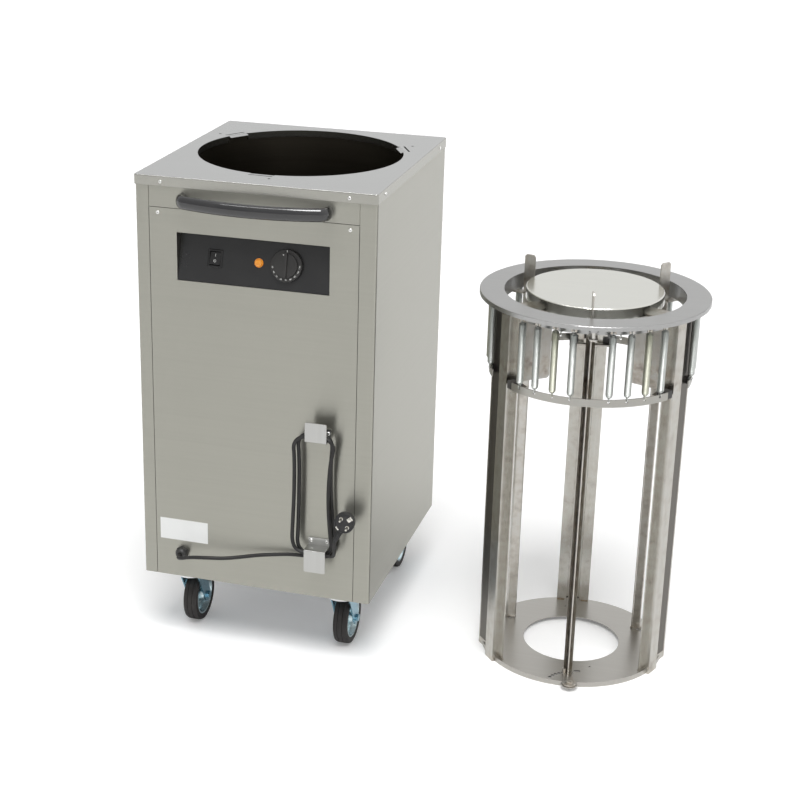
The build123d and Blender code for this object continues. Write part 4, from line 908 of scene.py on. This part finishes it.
# ---------------------------------------------------------------- floor and light
# A pale studio floor with a faint glow that only the camera sees, a soft wide lamp overhead and a
# long narrow lamp. The surround lights evenly and is white to the camera, and what the metal mirrors
# of it is brighter to the right, to the back and above.
floor_shape = bmesh.new()
bmesh.ops.create_grid(floor_shape, x_segments=1, y_segments=1, size=30)
floor_mesh = bpy.data.meshes.new("floor")
floor_shape.to_mesh(floor_mesh)
floor_shape.free()
floor = bpy.data.objects.new("floor", floor_mesh)
bpy.context.scene.collection.objects.link(floor)
floor_white, floor_tree, floor_shader = new_material("studio_floor")
for socket_name, amount in {"Base Color": (0.93, 0.93, 0.93, 1), "Roughness": 0.85,
                            "Specular IOR Level": 0.1}.items():
    floor_shader.inputs[socket_name].default_value = amount
floor_glow = add_node(floor_tree, "Emission", {"Strength": 0.15})
floor_seen = add_node(floor_tree, "MixShader")
floor_sum = add_node(floor_tree, "AddShader")
join(floor_tree,
     (floor_shader.outputs["BSDF"], floor_sum.inputs[0]),
     (floor_glow.outputs["Emission"], floor_sum.inputs[1]),
     (add_node(floor_tree, "LightPath").outputs["Is Camera Ray"], floor_seen.inputs["Fac"]),
     (floor_shader.outputs["BSDF"], floor_seen.inputs[1]),
     (floor_sum.outputs["Shader"], floor_seen.inputs[2]),
     (floor_seen.outputs["Shader"], floor_tree.nodes["Material Output"].inputs["Surface"]))
floor_mesh.materials.append(floor_white)

sun_data = bpy.data.lights.new("soft_overhead", "SUN")
sun_data.energy = 1.9
sun_data.angle = math.radians(28)
strip_data = bpy.data.lights.new("strip_lamp", "AREA")
strip_data.shape = "RECTANGLE"
strip_data.size, strip_data.size_y = 1.6, 0.10
strip_data.energy = 7.0
strip = bpy.data.objects.new("strip_lamp", strip_data)
strip.location = (-0.35, -0.9, 2.3)
strip.rotation_euler = (math.radians(28), 0, 0)
bpy.context.scene.collection.objects.link(strip)
sun = bpy.data.objects.new("soft_overhead", sun_data)
sun.rotation_euler = (math.radians(24), math.radians(10), 0)
bpy.context.scene.collection.objects.link(sun)

world = bpy.data.worlds.new("studio")
world.use_nodes = True
bpy.context.scene.world = world
sky_tree = world.node_tree
mirror_light = sky_tree.nodes["Background"]
soft_light = add_node(sky_tree, "Background", {"Strength": 0.55})
white_light = add_node(sky_tree, "Background")
for background in (mirror_light, soft_light, white_light):
    background.inputs["Color"].default_value = (1.0, 1.0, 1.0, 1)
bright_side = add_node(sky_tree, "VectorMath", {1: (0.62, 0.45, 0.64)}, operation="DOT_PRODUCT")
level = add_node(sky_tree, "MapRange", {"From Min": -1.0, "From Max": 1.0, "To Min": 0.45,
                                        "To Max": 1.0})
path = add_node(sky_tree, "LightPath")
mirrored = add_node(sky_tree, "MixShader")
seen = add_node(sky_tree, "MixShader")
join(sky_tree,
     (add_node(sky_tree, "TexCoord").outputs["Generated"], bright_side.inputs[0]),
     (bright_side.outputs["Value"], level.inputs["Value"]),
     (level.outputs["Result"], mirror_light.inputs["Strength"]),
     (path.outputs["Is Glossy Ray"], mirrored.inputs["Fac"]),
     (soft_light.outputs["Background"], mirrored.inputs[1]),
     (mirror_light.outputs["Background"], mirrored.inputs[2]),
     (path.outputs["Is Camera Ray"], seen.inputs["Fac"]),
     (mirrored.outputs["Shader"], seen.inputs[1]),
     (white_light.outputs["Background"], seen.inputs[2]),
     (seen.outputs["Shader"], sky_tree.nodes["World Output"].inputs["Surface"]))
